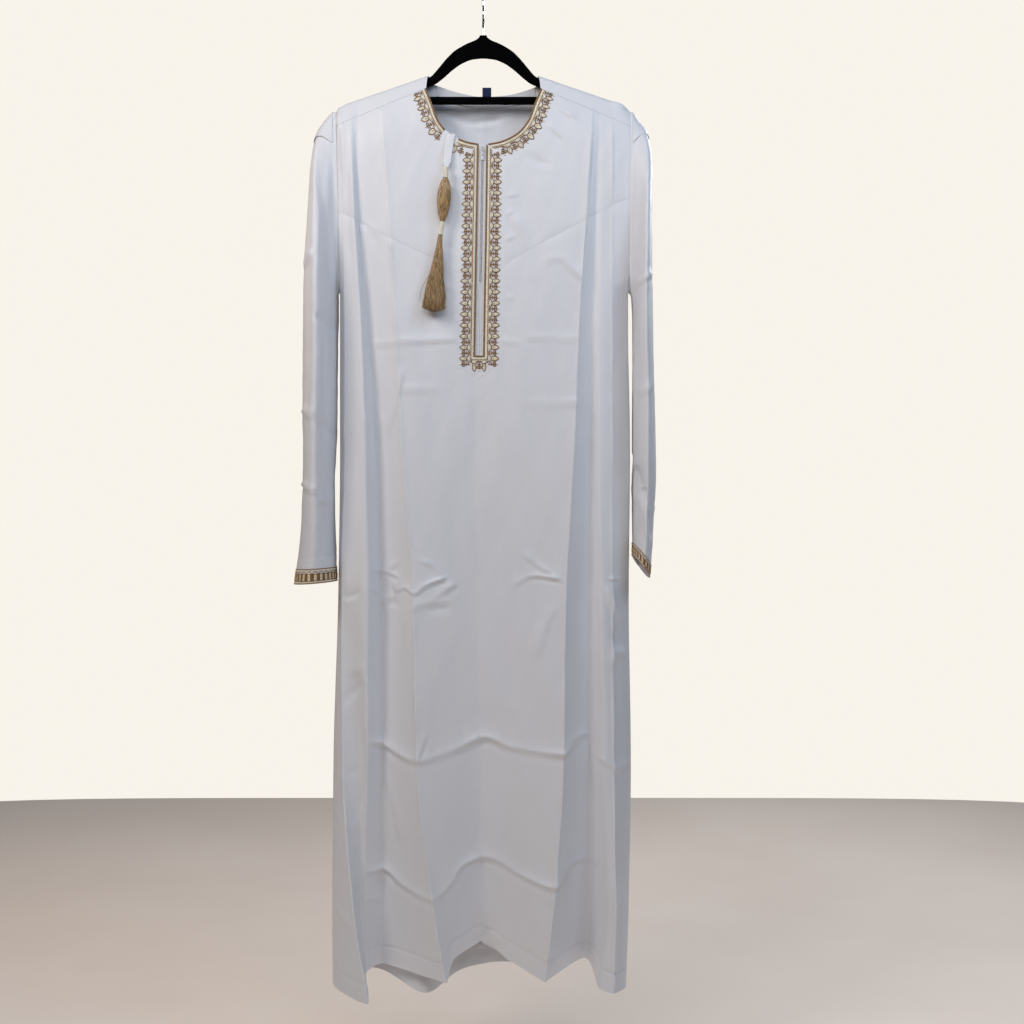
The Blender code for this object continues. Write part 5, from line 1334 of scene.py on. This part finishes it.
# Satin stitches lie low at their ends; a leaf is given by half of its outline, as (across, up)
SATIN_ACROSS = np.array((-1.0, -0.4, 0.4, 1.0))
SATIN_LIFT = (0.1, 0.5, 0.5, 0.1)
LEAF_HALF = np.array(((0.0, 13.0), (2.0, 13.5), (3.1, 15.0), (3.3, 17.0), (3.3, 20.2), (2.2, 22.6), (0.0, 25.0)))


class Braid:
    """Yarn of each colour for one or more runs of braid."""

    def __init__(self):
        self.brown, self.cream, self.gold = Lines(), Lines(), Lines()

    def line(self, yarn, run, s, t, radius, high=0.5):
        yarn.add(run.place(s, t, np.asarray(radius) * high), radius)

    def edge_lines(self, run, start, end, from_t=lambda t: 0.0, to_t=lambda t: 0.0):
        """Two brown cords, a satin bar and a thin brown cord; the ends shift with the reach to mitre corners."""
        for t, radius in ((0.85, 0.85), (2.3, 0.7), (7.0, 0.62), (9.0, 0.5)):
            s = np.arange(start - from_t(t), end + to_t(t), 2.0)
            s = np.append(s[:-1], end + to_t(t))
            self.line(self.brown, run, s, t, radius, 0.6)
        first, last = start - from_t(4.7), end + to_t(4.7)
        for s in np.arange(first, last, 0.62):
            self.cream.add(run.place(s, np.linspace(3.1, 6.4, 4), (0.05, 0.62, 0.62, 0.05)), 0.36)
        self.line(self.cream, run, np.arange(first, last, 2.0), 8.0, 0.42, 0.5)

    def motif(self, run, centre, pitch):
        """A cream tooth and a pointed leaf, with a knotted brown cluster at each side of it."""
        half = pitch / 2.0
        for t in np.arange(8.5, 12.6, 0.58):
            reach = half * 0.66 * (12.9 - t) / 4.4
            self.cream.add(run.place(centre + reach * SATIN_ACROSS, t, SATIN_LIFT), 0.34)
        for way in (-1.0, 1.0):
            s = centre + way * np.array((half * 1.18, half * 0.86, half * 0.52, half * 0.26, 2.2))
            self.line(self.brown, run, s, (8.8, 10.0, 11.5, 12.8, 14.0), 0.68, 0.9)
        across, up = np.concatenate([LEAF_HALF * (-1, 1), LEAF_HALF[-2::-1]]).T
        self.line(self.brown, run, centre + across * half / 8.6, up, 0.72, 0.9)
        across, up = LEAF_HALF.T
        for t in np.arange(14.3, 24.2, 0.62):
            reach = np.interp(t, up, across) * half / 8.6 - 0.5
            if reach > 0.3:
                s = centre + np.array((-reach, -reach * 0.35, reach * 0.35, reach))
                self.cream.add(run.place(s, t, (0.1, 0.52, 0.52, 0.1)), 0.34)
        for shift in (-0.35, 0.35):
            self.gold.add(run.place(centre + shift, (14.4, 15.8, 17.2, 18.4), (0.4, 0.8, 0.8, 0.4)), 0.36)

    def cluster(self, run, centre):
        """Three looped bars on a spine, with a cream knot at the tip."""
        turn = np.linspace(0.0, 2.0 * np.pi, 9)
        for t, wide in ((13.8, 2.7), (17.0, 3.6), (20.0, 3.3)):
            s = centre + wide * np.cos(turn)
            self.line(self.brown, run, s, t + 0.7 * np.sin(turn), 0.48, 1.0)
        for way in (-1.0, 1.0):
            s = centre + way * np.array((3.4, 3.9, 3.6))
            self.line(self.brown, run, s, (17.2, 18.6, 19.8), 0.5, 1.0)
        self.line(self.brown, run, centre, np.linspace(8.6, 21.4, 5), 0.55, 1.2)
        self.cream.add(run.place(centre, (21.6, 22.1, 23.0, 23.9, 24.4), 0.6), (0.3, 1.1, 1.35, 1.1, 0.3))

    def row(self, run, start, end, pitch):
        count = max(int(round((end - start) / pitch)), 1)
        pitch = (end - start) / count
        for k in range(count):
            self.motif(run, start + (k + 0.5) * pitch, pitch)
        for k in range(count + 1):
            self.cluster(run, start + k * pitch)

    def pieces(self, name):
        return [lines.threads(name + "_" + word, yarn) for word, lines, yarn in
                (("brown", self.brown, BROWN), ("cream", self.cream, CREAM), ("gold", self.gold, GOLD))]


def slit_braid():
    """Braid down both edges of the slit and across its foot, with mitred corners."""
    braid = Braid()
    foot = FootRun()
    for side in (-1, 1):
        run = SlitRun(side)
        braid.edge_lines(run, 0.0, run.length, lambda t: -t, lambda t: t)
        braid.row(run, 16.8, run.length + 13.7, 17.44)
    braid.edge_lines(foot, 0.0, foot.length, lambda t: t, lambda t: t)
    middle = foot.length / 2.0
    for way in (-1.0, 1.0):
        braid.motif(foot, middle + way * 7.8, 13.5)
    braid.cluster(foot, middle)
    return braid.pieces("slit_braid")


def neck_braid(side):
    braid = Braid()
    run = NeckRun(side)
    tab = [float(run.at[int(round(share * 240))]) for share in TAB_GAP]
    parts = ((0.0, run.length),) if side > 0 else ((0.0, tab[0]), (tab[1], run.length))
    for start, end in parts:
        to_slit = end == run.length
        if to_slit:
            braid.edge_lines(run, start, end, to_t=lambda t: -t)
        else:
            braid.edge_lines(run, start, end)
        last = min(end, run.length - 21.5)
        if last - start > 14.0:
            braid.row(run, start + 2.0, last, 17.0)
        elif to_slit:
            braid.motif(run, run.length - 33.0, 15.0)
            braid.cluster(run, run.length - 24.0)
    return braid.pieces("neck_braid_left" if side < 0 else "neck_braid_right")


def cuff_braid(name, rings):
    """Two edge cords, cream columns on brown, and a row of teeth, round the wrist."""
    run = CuffRun(rings)
    braid = Braid()
    brown, cream, gold = braid.brown, braid.cream, braid.gold
    around = np.linspace(0.0, run.length, 241)
    for t, radius in ((0.9, 0.9), (4.8, 0.7), (16.6, 0.7), (24.2, 0.8)):
        brown.add(run.place(around, t, radius * 0.6), radius)
    for s in np.arange(0.0, run.length, 0.64):
        for low, high in ((1.7, 4.0), (21.4, 23.5)):
            cream.add(run.place(s, np.linspace(low, high, 4), (0.05, 0.5, 0.5, 0.05)), 0.37)
    for s in np.arange(0.0, run.length, 0.8):
        brown.add(run.place(s, (5.0, 10.7, 16.4), (0.05, 0.16, 0.05)), 0.42)
    count = int(round(run.length / 10.4))
    pitch = run.length / count
    for k in range(count):
        middle = (k + 0.5) * pitch
        for t in np.arange(5.8, 16.0, 0.62):
            wide = 1.9 + 0.5 * math.sin((t - 5.8) / 10.2 * math.pi)
            cream.add(run.place(middle + wide * SATIN_ACROSS, t, SATIN_LIFT), 0.34)
        gold.add(run.place(middle, (7.0, 9.6, 12.2, 14.6), (0.5, 0.95, 0.95, 0.5)), 0.5)
        for way in (-1.0, 1.0):
            for across, up, lift, radius in (
                    ((2.9, 3.3, 3.3, 2.9), (5.4, 9.0, 12.6, 16.2), 0.5, 0.55),
                    ((pitch * 0.5, pitch * 0.44, pitch * 0.5), (5.4, 10.8, 16.2), 0.45, 0.5),
                    ((pitch * 0.5, pitch * 0.25, 0.0), (17.2, 19.2, 21.0), 0.5, 0.5)):
                brown.add(run.place(middle + way * np.array(across), up, lift), radius)
        for t in np.arange(17.5, 20.4, 0.6):
            wide = pitch * 0.42 * (20.8 - t) / 3.6
            cream.add(run.place(middle + np.array((-wide, 0.0, wide)), t, (0.1, 0.45, 0.1)), 0.33)
    return braid.pieces(name)


# Zip, tassel, hanger and label
TAPE_TOP = 247.0
TAPE_BOTTOM = 581.0
SLIDER_DROP = 252.0
SEWN_FROM = 462.0
TAB_PATH = ((-50, 228, 2.8), (-52.5, 240, 3.4), (-55, 260, 6.0), (-57, 283, 9.5))
TAB_WIDTH = (14.5, 12.0)
TASSEL_PATH = np.array(((-57.2, -41.0, -283.4), (-58.4, -42.0, -301.0), (-63.2, -43.6, -370.0),
                        (-66.4, -45.0, -391.0), (-77.0, -50.0, -508.0)))
COLLAR_RADIUS = (3.9, 3.3)
COLLAR_SHORT = 0.6
BULB_PROFILE = ((0.0, 3.4), (0.06, 6.2), (0.18, 8.9), (0.38, 10.6), (0.5, 10.6), (0.72, 8.8), (0.92, 5.4), (1.0, 3.2))
BULB_FLATNESS = 0.72
BRUSH_HALF_END = (19.0, 8.0)
HANGER_TOP = ((5.7, 62.9), (6.4, 66.5), (13, 71.2), (27.6, 76.8), (46.8, 88.2), (60.2, 101.8), (74, 118.8),
              (82, 128.0), (90, 132.8), (210, 174.2))
HANGER_TIP = ((217.0, 178.5), (219.5, 185.0), (216.0, 191.5), (207.0, 193.5))
HANGER_ARM_BELOW = ((150, 174.6), (136, 173.2))
HANGER_HOLE = ((0, 98.9), (20.4, 101.2), (36, 108.2), (50, 118.4), (63.8, 131.0), (75.9, 140.2), (92, 147.0),
               (128, 158.6), (131, 161.3))
HANGER_HALF = 3.0
HANGER_ROLL = 1.3
WIRE_RADIUS = 1.8
HOOK_INNER = 19.0
LABEL_X = (-1.6, 12.6)
LABEL_DROP = (143.0, 160.0)


def zip_tape(name, side):
    """One woven tape of the zip, behind the slit's edge."""
    drops = np.linspace(TAPE_TOP, TAPE_BOTTOM, 140)
    middle = slit_middle(drops)
    edge = slit_x(side, drops) + side * 6.0
    shares = np.linspace(0.0, 1.0, 9)
    x = between((middle + side * 0.15)[None], edge[None], shares[:, None])
    drop = np.broadcast_to(drops, x.shape)
    lift = -1.25 + 0.22 * np.sin(shares * np.pi)[:, None] + 0.0 * x
    grid = FRONT_MAP.point(x.ravel(), drop.ravel(), lift.ravel()).reshape(9, 140, 3)
    out = np.broadcast_to((0.0, -1.0, 0.0), grid.shape)
    return cloth_piece(name, grid, out, TAPE_CLOTH, thickness=TAPE_WALL)


def zip_coil():
    """Two meshing nylon coils down the middle of the tapes, from the slider to the sewn stretch."""
    lines = Lines()
    for side in (-1.0, 1.0):
        turns = int((SEWN_FROM - SLIDER_DROP - 4.0) / 1.25)
        wind = np.linspace(0.0, turns * 2.0 * np.pi, turns * 8)
        drop = SLIDER_DROP + 4.0 + wind / (2.0 * np.pi) * 1.25 + (0.6 if side > 0 else 0.0)
        middle = slit_middle(drop)
        x = middle + side * (0.75 - 1.15 * np.cos(wind))
        lines.add(FRONT_MAP.point(x, drop, -0.55 + 0.55 * np.sin(wind)), 0.3)
    return lines.threads("zip_coils", WHITE_YARN)


def sewn_slit():
    """White stitching that closes the lower part of the slit."""
    lines = Lines()
    drop = np.arange(SEWN_FROM, SLIT_BOTTOM - 5.0, 2.0)
    middle = slit_middle(drop)
    for shift in (-2.6, 2.6):
        lines.add(FRONT_MAP.point(middle + shift, drop, -0.9), facing=(0.0, -1.0, 0.0))
    across = np.arange(-3.4, 3.5, 1.7)
    for place in (SEWN_FROM, SEWN_FROM + 2.6):
        centre = float(slit_middle(place))
        lines.add(FRONT_MAP.point(centre + across, np.full(across.size, place), -0.9), facing=(0.0, -1.0, 0.0))
    return lines.stitches("slit_closing_stitches", 2.6, 2.1)


def hem_stitching(name, grid, out):
    """The row that holds the turned up hem, ending just short of the side seams."""
    points, normals = above_hem(grid, out, HEM_BAND)
    lines = Lines()
    lines.add(points[2:-2], facing=normals[2:-2])
    return lines.stitches(name, 3.4, 2.7, 0.34)


def sleeve_stitching(name, grid, out):
    """The row that holds the facing inside the end of a sleeve, above the braid."""
    points, normals = above_hem(grid, out, CUFF_FACING)
    lines = Lines()
    lines.add(np.concatenate([points, points[:1]]), facing=np.concatenate([normals, normals[:1]]))
    return lines.stitches(name)


def foot_stitching():
    """The pointed row under the braid's foot, which holds the slit's facing inside."""
    lines = Lines()
    share = np.linspace(0.0, 1.0, 12)
    for start, end in (((-33.0, 598.0), (-6.0, 615.0)), ((-6.0, 615.0), (21.0, 594.0))):
        x, drop = (between(start[k], end[k], share) for k in range(2))
        lines.add(FRONT_MAP.point(x, drop, np.full(12, 0.05)), facing=(0.0, -1.0, 0.0))
    return lines.stitches("foot_facing_stitches", 3.0, 2.4, 0.34)


def facing_stitching():
    """The row along the lower edge of the back neck's facing, seen inside the neck."""
    x = np.linspace(BACK_NECK[0][0] + 6.0, BACK_NECK[-1][0] - 6.0, 90)
    drop = smooth_along(BACK_NECK, x) + 14.5
    lines = Lines()
    lines.add(BACK_MAP.point(x, drop, np.full(90, -WALL - 1.15)), facing=(0.0, -1.0, 0.0))
    return lines.stitches("neck_facing_stitches")


def tassel_stretch(index, share, short=0.0):
    """One stretch of the tassel: points down its middle, and its directions across, deep and down."""
    start, end = TASSEL_PATH[index:index + 2]
    down = unit(end - start)
    end = end - down * short
    across = unit(np.cross((0.0, 1.0, 0.0), down))
    return start + (end - start) * share[:, None], across, np.cross(down, across), down


def wound_collar(name, index, radius):
    """Thread wound tightly round the tassel's neck over its core."""
    core, across, deep, _ = tassel_stretch(index, np.linspace(0.02, 0.98, 5), COLLAR_SHORT)
    turns = (np.linalg.norm(TASSEL_PATH[index + 1] - TASSEL_PATH[index]) - COLLAR_SHORT) / 0.86
    wind = np.linspace(0.0, turns * 2.0 * np.pi, int(turns * 14))
    share = wind / wind[-1]
    middle = tassel_stretch(index, share, COLLAR_SHORT)[0]
    body = (radius - 0.42 + 0.25 * np.sin(share * np.pi))[:, None]
    lines = Lines()
    lines.add(middle + across * body * np.cos(wind)[:, None] + deep * body * np.sin(wind)[:, None], 0.44)
    lines.add(core, radius - 0.5)
    return lines.threads(name, CREAM, 8)


def tassel_bulb():
    """Strands that bow out between the two wound necks, over a full core."""
    rng = np.random.default_rng(21)
    share = np.linspace(0.0, 1.0, 15)
    centre, across, deep, _ = tassel_stretch(1, share)
    bulge = smooth_along(BULB_PROFILE, share)
    lines = Lines()
    for k in range(150):
        angle = 2.0 * np.pi * (k + rng.uniform(-0.3, 0.3)) / 150
        turned = angle + rng.normal(0.0, 0.05) * np.sin(share * np.pi)
        body = np.maximum(bulge - 0.5 + rng.normal(0.0, 0.22) * np.sin(share * np.pi), 2.4)
        path = centre + across * (body * np.cos(turned))[:, None] \
            + deep * (body * BULB_FLATNESS * np.sin(turned))[:, None]
        lines.add(path, 0.42 + 0.1 * rng.random())
    return lines.threads("tassel_bulb_strands", TASSEL)


def tassel_core():
    """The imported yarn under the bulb's strands."""
    share = np.linspace(0.0, 1.0, 25)
    centre, across, deep, _ = tassel_stretch(1, share)
    angle = np.linspace(0.0, 2.0 * np.pi, 40, endpoint=False)
    body = np.maximum(smooth_along(BULB_PROFILE, share) - 0.9, 2.0)
    ribs = body * (1.0 + 0.02 * np.sin(angle * 13.0))[:, None]
    grid = centre[None] + across * (ribs * np.cos(angle)[:, None])[..., None] \
        + deep * (ribs * BULB_FLATNESS * np.sin(angle)[:, None])[..., None]
    return tube_object("tassel_bulb_core", grid, TASSEL)


def tassel_brush():
    """The brush's cut strands, spreading and curling a little towards ragged ends."""
    rng = np.random.default_rng(33)
    share = np.linspace(0.0, 1.0, 8)
    centre, across, deep, down = tassel_stretch(3, share)
    start, length = centre[0], np.linalg.norm(centre[-1] - centre[0])
    flare = share ** 1.25
    half_x = between(3.1, BRUSH_HALF_END[0] - 0.8, flare)
    half_y = between(2.8, BRUSH_HALF_END[1] - 0.5, flare)
    lines = Lines()
    for _ in range(1150):
        angle = rng.uniform(0.0, 2.0 * np.pi)
        out = math.sqrt(rng.random())
        a, b = out * math.cos(angle), out * math.sin(angle)
        reach = 1.035 - 0.04 * abs(a) - 0.11 * rng.random() ** 2
        stray = 1.0 + 1.6 * (rng.random() < 0.18)
        sway = rng.normal(0.0, 1.2) * stray * np.sin(share * rng.uniform(2.0, 5.0) * 1.6) * share
        sway_deep = rng.normal(0.0, 0.8) * np.sin(share * rng.uniform(2.0, 5.0) * 1.6) * share
        path = start + down * (length * share * reach)[:, None] + across * (a * half_x + sway)[:, None] \
            + deep * (b * half_y + sway_deep)[:, None]
        lines.add(path, np.interp(share, (0.0, 0.9, 1.0), (0.36, 0.33, 0.18)))
    return lines.threads("tassel_brush_strands", TASSEL, 4)


def tassel_tab():
    """The folded cloth loop that carries the tassel, with rounded edges."""
    places = [p[1] for p in TAB_PATH]
    columns, rows = 24, 46
    drops = np.linspace(places[0], places[-1], rows)
    x = smooth_value(places, [p[0] for p in TAB_PATH], drops)
    lift = smooth_value(places, [p[2] for p in TAB_PATH], drops)
    share = (drops - places[0]) / (places[-1] - places[0])
    width = between(TAB_WIDTH[0], TAB_WIDTH[1], share) * (1.0 - 0.5 * smooth_step((share - 0.82) / 0.18))
    angle = np.linspace(0.0, 2.0 * np.pi, columns, endpoint=False)
    grid = np.empty((columns, rows, 3))
    for i, turn in enumerate(angle):
        side = math.copysign(abs(math.cos(turn)) ** 0.35, math.cos(turn))
        face = math.copysign(abs(math.sin(turn)) ** 0.5, math.sin(turn))
        fold = 0.35 * np.sin(share * 9.0 + side * 2.0)
        grid[i] = FRONT_MAP.point(x + side * width / 2.0, drops, lift - 1.2 + face * 1.15 + fold * max(face, 0.0))
    obj = tube_object("tassel_loop", grid, CLOTH)
    set_uv(obj.data, grid.reshape(-1, 3)[:, (0, 2)] * (MM, -MM))
    return obj


def rounded_outline(outline, rounds):
    """Cuts the corners of a closed outline, again and again, so that it runs smoothly."""
    line = np.array(outline, float)
    for _ in range(rounds):
        after = np.roll(line, -1, axis=0)
        line = np.stack([line * 0.82 + after * 0.18, line * 0.18 + after * 0.82], axis=1).reshape(-1, 2)
    return line


def mirrored(points):
    return [(-x, drop) for x, drop in reversed(points) if x > 0.01]


def hanger():
    """The flocked hanger: arch, arms and bar in one flat outline with rolled edges."""
    right = list(HANGER_TOP) + list(HANGER_TIP) + list(HANGER_ARM_BELOW)
    outer = mirrored(right) + right
    hole = list(HANGER_HOLE) + mirrored(HANGER_HOLE)
    curve = bpy.data.curves.new("hanger_outline", "CURVE")
    curve.dimensions = "2D"
    curve.fill_mode = "BOTH"
    curve.bevel_depth = HANGER_ROLL * MM
    curve.offset = -HANGER_ROLL * MM
    curve.extrude = (HANGER_HALF - HANGER_ROLL) * MM
    curve.bevel_resolution = 4
    for outline in (rounded_outline(outer, 3), rounded_outline(hole, 3)):
        spline = curve.splines.new("POLY")
        spline.points.add(len(outline) - 1)
        for point, (x, drop) in zip(spline.points, outline):
            point.co = (x * MM, -drop * MM, 0.0, 1.0)
        spline.use_cyclic_u = True
    holder = placed_object("hanger_outline", curve)
    mesh = evaluated_mesh("velvet_hanger", holder)
    bpy.data.objects.remove(holder)
    shape = bmesh.new()
    shape.from_mesh(mesh)
    bmesh.ops.remove_doubles(shape, verts=shape.verts, dist=0.00001)
    for vertex in shape.verts:
        vertex.co = Vector((vertex.co.x, -vertex.co.z, vertex.co.y))
    bmesh.ops.recalc_face_normals(shape, faces=shape.faces)
    shape.to_mesh(mesh)
    shape.free()
    mesh.shade_smooth()
    mesh.set_sharp_from_angle(angle=math.radians(50))
    mesh.materials.clear()
    mesh.materials.append(VELVET)
    return placed_object("velvet_hanger", mesh)


def hook():
    """The plated wire hook, edge on to the front, with a round nose."""
    middle = HOOK_INNER + WIRE_RADIUS
    seat = HANGER_TOP[0][1] - 0.3
    points = [(0.0, -seat), (0.0, -60.0), (0.05, -57.0), (0.3, -52.5), (0.8, -50.0), (1.6, -47.8), (2.9, -45.4)]
    for degrees in np.arange(-60.0, 195.1, 3.0):
        angle = math.radians(degrees)
        points.append((middle * math.cos(angle), -HOOK_INNER + middle * math.sin(angle)))
    line = np.array([(0.0, y, z) for y, z in points])
    radius = np.full(len(line), WIRE_RADIUS)
    radius[-1] = WIRE_RADIUS * 0.55
    lines = Lines()
    lines.add(line, radius)
    return lines.threads("wire_hook", CHROME, 20)


def neck_label():
    """The bare woven label, folded over at its top and sewn down inside the neck."""
    x = np.linspace(LABEL_X[0], LABEL_X[1], 15)
    drop = np.linspace(LABEL_DROP[1], LABEL_DROP[0], 22)
    base = float(BACK_MAP.y((LABEL_X[0] + LABEL_X[1]) / 2.0, 157.0)) - 2.0
    front = [(d, base - 1.0 - 0.5 * math.sin((d - LABEL_DROP[0]) / 17.0 * math.pi)) for d in drop]
    fold = [(LABEL_DROP[0] - 0.45 * math.sin(a), base - 0.5 - 0.5 * math.cos(a)) for a in np.linspace(0.4, 2.7, 6)]
    rear = [(d, base) for d in drop[::-1]]
    section = np.array(front + fold + rear)
    d, y = section.T[..., None]
    grid = np.stack(np.broadcast_arrays(x, y, -d), axis=-1)
    return tube_object("bare_neck_label", grid, NAVY)


def back_facing():
    """The strip that finishes the back of the neck on the inside."""
    x = np.linspace(BACK_NECK[0][0] + 3.0, BACK_NECK[-1][0] - 3.0, 90)
    top = smooth_along(BACK_NECK, x) + 0.4
    shares = np.linspace(0.0, 1.0, 14)
    drop = between(top[:, None], (top + 17.0)[:, None], shares[None])
    across = np.broadcast_to(x[:, None], drop.shape)
    lift = -WALL - 0.25 - 0.25 * np.sin(shares * np.pi)[None] + 0.0 * drop
    grid = BACK_MAP.point(across.ravel(), drop.ravel(), lift.ravel()).reshape(90, 14, 3)
    out = np.broadcast_to((0.0, 1.0, 0.0), grid.shape)
    return cloth_piece("back_neck_facing", grid, out, CLOTH_INSIDE, thickness=THIN_WALL)


# Camera, lights and floor
def set_camera():
    data = bpy.data.cameras.new("photo_view")
    data.sensor_width = 36.0
    data.lens = 48.35
    data.clip_end = 50.0
    camera = placed_object("photo_view", data)
    camera.location = (0.046, -2.2, -0.825)
    camera.rotation_euler = (math.radians(90.0), 0.0, 0.0)
    bpy.context.scene.camera = camera


def area_light(name, place, target, size, power, colour):
    data = bpy.data.lights.new(name, "AREA")
    data.shape = "RECTANGLE"
    data.size, data.size_y = size
    data.energy = power
    data.color = colour
    light = placed_object(name, data)
    light.location = place
    light.rotation_euler = (Vector(target) - light.location).to_track_quat("-Z", "Y").to_euler()


def set_lights():
    area_light("left_window", (-1.25, -1.15, 0.66), (0.0, 0.0, -0.26), (0.6, 0.7), 18.3, (1.0, 0.925, 0.885))
    area_light("right_window", (1.30, -1.10, 0.66), (0.0, 0.0, -0.24), (0.7, 0.8), 12.0, (0.60, 0.77, 1.0))
    area_light("soft_front", (-0.1, -2.0, 0.70), (0.0, 0.0, -0.04), (2.0, 1.0), 20.0, (0.96, 0.965, 1.0))
    area_light("low_warmth", (-1.1, -1.7, -1.35), (0.0, 0.0, -1.30), (0.8, 0.6), 0.5, (1.0, 0.68, 0.48))
    area_light("rear_window", (1.55, 1.70, 0.60), (0.0, 0.0, -0.60), (0.9, 1.1), 34.0, (0.97, 0.97, 1.0))
    area_light("rear_warmth", (-1.60, 1.25, 0.0), (0.0, 0.0, -0.60), (0.7, 0.9), 5.0, (1.0, 0.80, 0.64))
    world = bpy.data.worlds.new("pale_room")
    bpy.context.scene.world = world
    world.use_nodes = True
    net = Net(world.node_tree)
    ground = net.tree.nodes["Background"]
    ground.inputs["Color"].default_value = (0.66, 0.72, 0.84, 1.0)
    ground.inputs["Strength"].default_value = 0.045
    seen = net.add("ShaderNodeBackground", {"Color": (0.945, 0.900, 0.825, 1.0), "Strength": 1.0})
    path = net.add("ShaderNodeLightPath", out="Is Camera Ray")
    mix = net.add("ShaderNodeMixShader", {0: path, 1: ground.outputs[0], 2: seen})
    net.join(mix, net.tree.nodes["World Output"].inputs[0])


def set_floor():
    """A pale floor with rounded corners below the robe."""
    look = Finish("pale_floor", 0.55)
    place = look.place()
    look.paint(look.noise(place, 2.2), (0.3, (0.80, 0.72, 0.65)), (0.7, (0.86, 0.79, 0.72)))
    look.surface["Emission Color"].default_value = (0.86, 0.74, 0.64, 1.0)
    look.surface["Emission Strength"].default_value = 0.17
    look.rise((look.noise(place, 90.0), 0.0006, 0.3))
    turn = np.linspace(0.0, 2.0 * np.pi, 128, endpoint=False)
    reach = 2250.0 / (np.abs(np.cos(turn)) ** 6 + np.abs(np.sin(turn)) ** 6) ** (1.0 / 6.0)
    points = np.stack([reach * np.cos(turn), reach * np.sin(turn), np.full(128, -1750.0)], axis=-1)
    mesh_object("floor", points, [tuple(range(128))], look.material, smooth=False)


# Putting it together
def on_robe(pieces, slot, *nodes):
    for piece in pieces if isinstance(pieces, list) else [pieces]:
        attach(piece, GARMENT)
        if nodes:
            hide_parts(*nodes)
    return pieces


LEVEL_NAMES = ("chest", "waist", "knee", "hem")
FRONT_NODES = ["front_" + level + "_" + hand for level in LEVEL_NAMES for hand in ("left", "right")]
BACK_NODES = ["back_" + level + "_" + hand for level in ("shoulder",) + LEVEL_NAMES for hand in ("left", "right")]

set_camera()
set_lights()
set_floor()

front, *front_cloth = robe_front(CLOTH)
back, *back_cloth = robe_back(CLOTH)
on_robe(front, "cloth", *FRONT_NODES)
on_robe(back, "cloth", *BACK_NODES)
yokes, strips, arms, arm_cloths, caps = [], [], [], [], []
for side, hand in HANDS:
    yokes.append(on_robe(yoke("yoke_" + hand, side, CLOTH), "cloth", "front_yoke_" + hand))
for side, hand in HANDS:
    strips.append(on_robe(shoulder_strip("strip_" + hand, side, CLOTH), "cloth", "shoulder_" + hand))
for side, hand in HANDS:
    arm, *arm_cloth = sleeve("arm_" + hand, side, CLOTH)
    arms.append(on_robe(arm, "cloth", "sleeve_" + hand + "_upper", "sleeve_" + hand + "_lower"))
    arm_cloths.append(arm_cloth)
for side, hand in HANDS:
    caps.append(on_robe(cap("cap_" + hand, side, CLOTH), "cloth", "sleeve_cap_" + hand))
facing = on_robe(back_facing(), "cloth")
on_robe(slit_braid(), "braid", "placket_trim_left", "placket_trim_right", "placket_trim_foot")
on_robe(neck_braid(-1), "braid", "neck_trim_left", "neck_trim_left_front")
on_robe(neck_braid(1), "braid", "neck_trim_right")
for side, hand in HANDS:
    on_robe(cuff_braid("cuff_braid_" + hand, SLEEVES[side]), "braid", "cuff_trim_" + hand)
tapes = [on_robe(zip_tape("tape_" + hand, side), "zip_tape", "zip_tape_" + hand) for side, hand in HANDS]
on_robe(zip_coil(), "zip_tape")
on_robe(sewn_slit(), "cloth")
hem_rows = on_robe([hem_stitching("front_hem_stitches", *front_cloth),
                    hem_stitching("back_hem_stitches", *back_cloth)], "cloth")
arm_rows = on_robe([sleeve_stitching("arm_" + hand + "_stitches", *arm_cloth)
                    for (_, hand), arm_cloth in zip(HANDS, arm_cloths)], "cloth")
foot_row = on_robe(foot_stitching(), "cloth")
neck_row = on_robe(facing_stitching(), "cloth")
loop = on_robe(tassel_tab(), "cloth", "tassel_tab")
on_robe(wound_collar("tassel_upper_binding", 0, COLLAR_RADIUS[0]), "binding_thread", "tassel_collar_upper")
on_robe([tassel_bulb(), tassel_core()], "tassel_thread", "tassel_bulb")
on_robe(wound_collar("tassel_lower_binding", 2, COLLAR_RADIUS[1]), "binding_thread", "tassel_collar_lower")
on_robe(tassel_brush(), "tassel_thread", "tassel_brush")
on_robe(hanger(), "velvet", "hanger")
on_robe(hook(), "hook_wire", "hook")
on_robe(neck_label(), "label_weave", "neck_label")
for node, coat in (("zip_slider", SLIDER_WHITE), ("zip_pull", PULL_WHITE)):
    for place in bpy.data.objects[node].material_slots:
        place.material = coat

# The fields for a sheet of cloth and the size that what shows of it was cut to, in metres; no sheet is listed with
# them
Cut = namedtuple("Cut", "piece flat area held rests_on with_pieces", defaults=((),))

bpy.context.scene.view_settings.view_transform = "Standard"
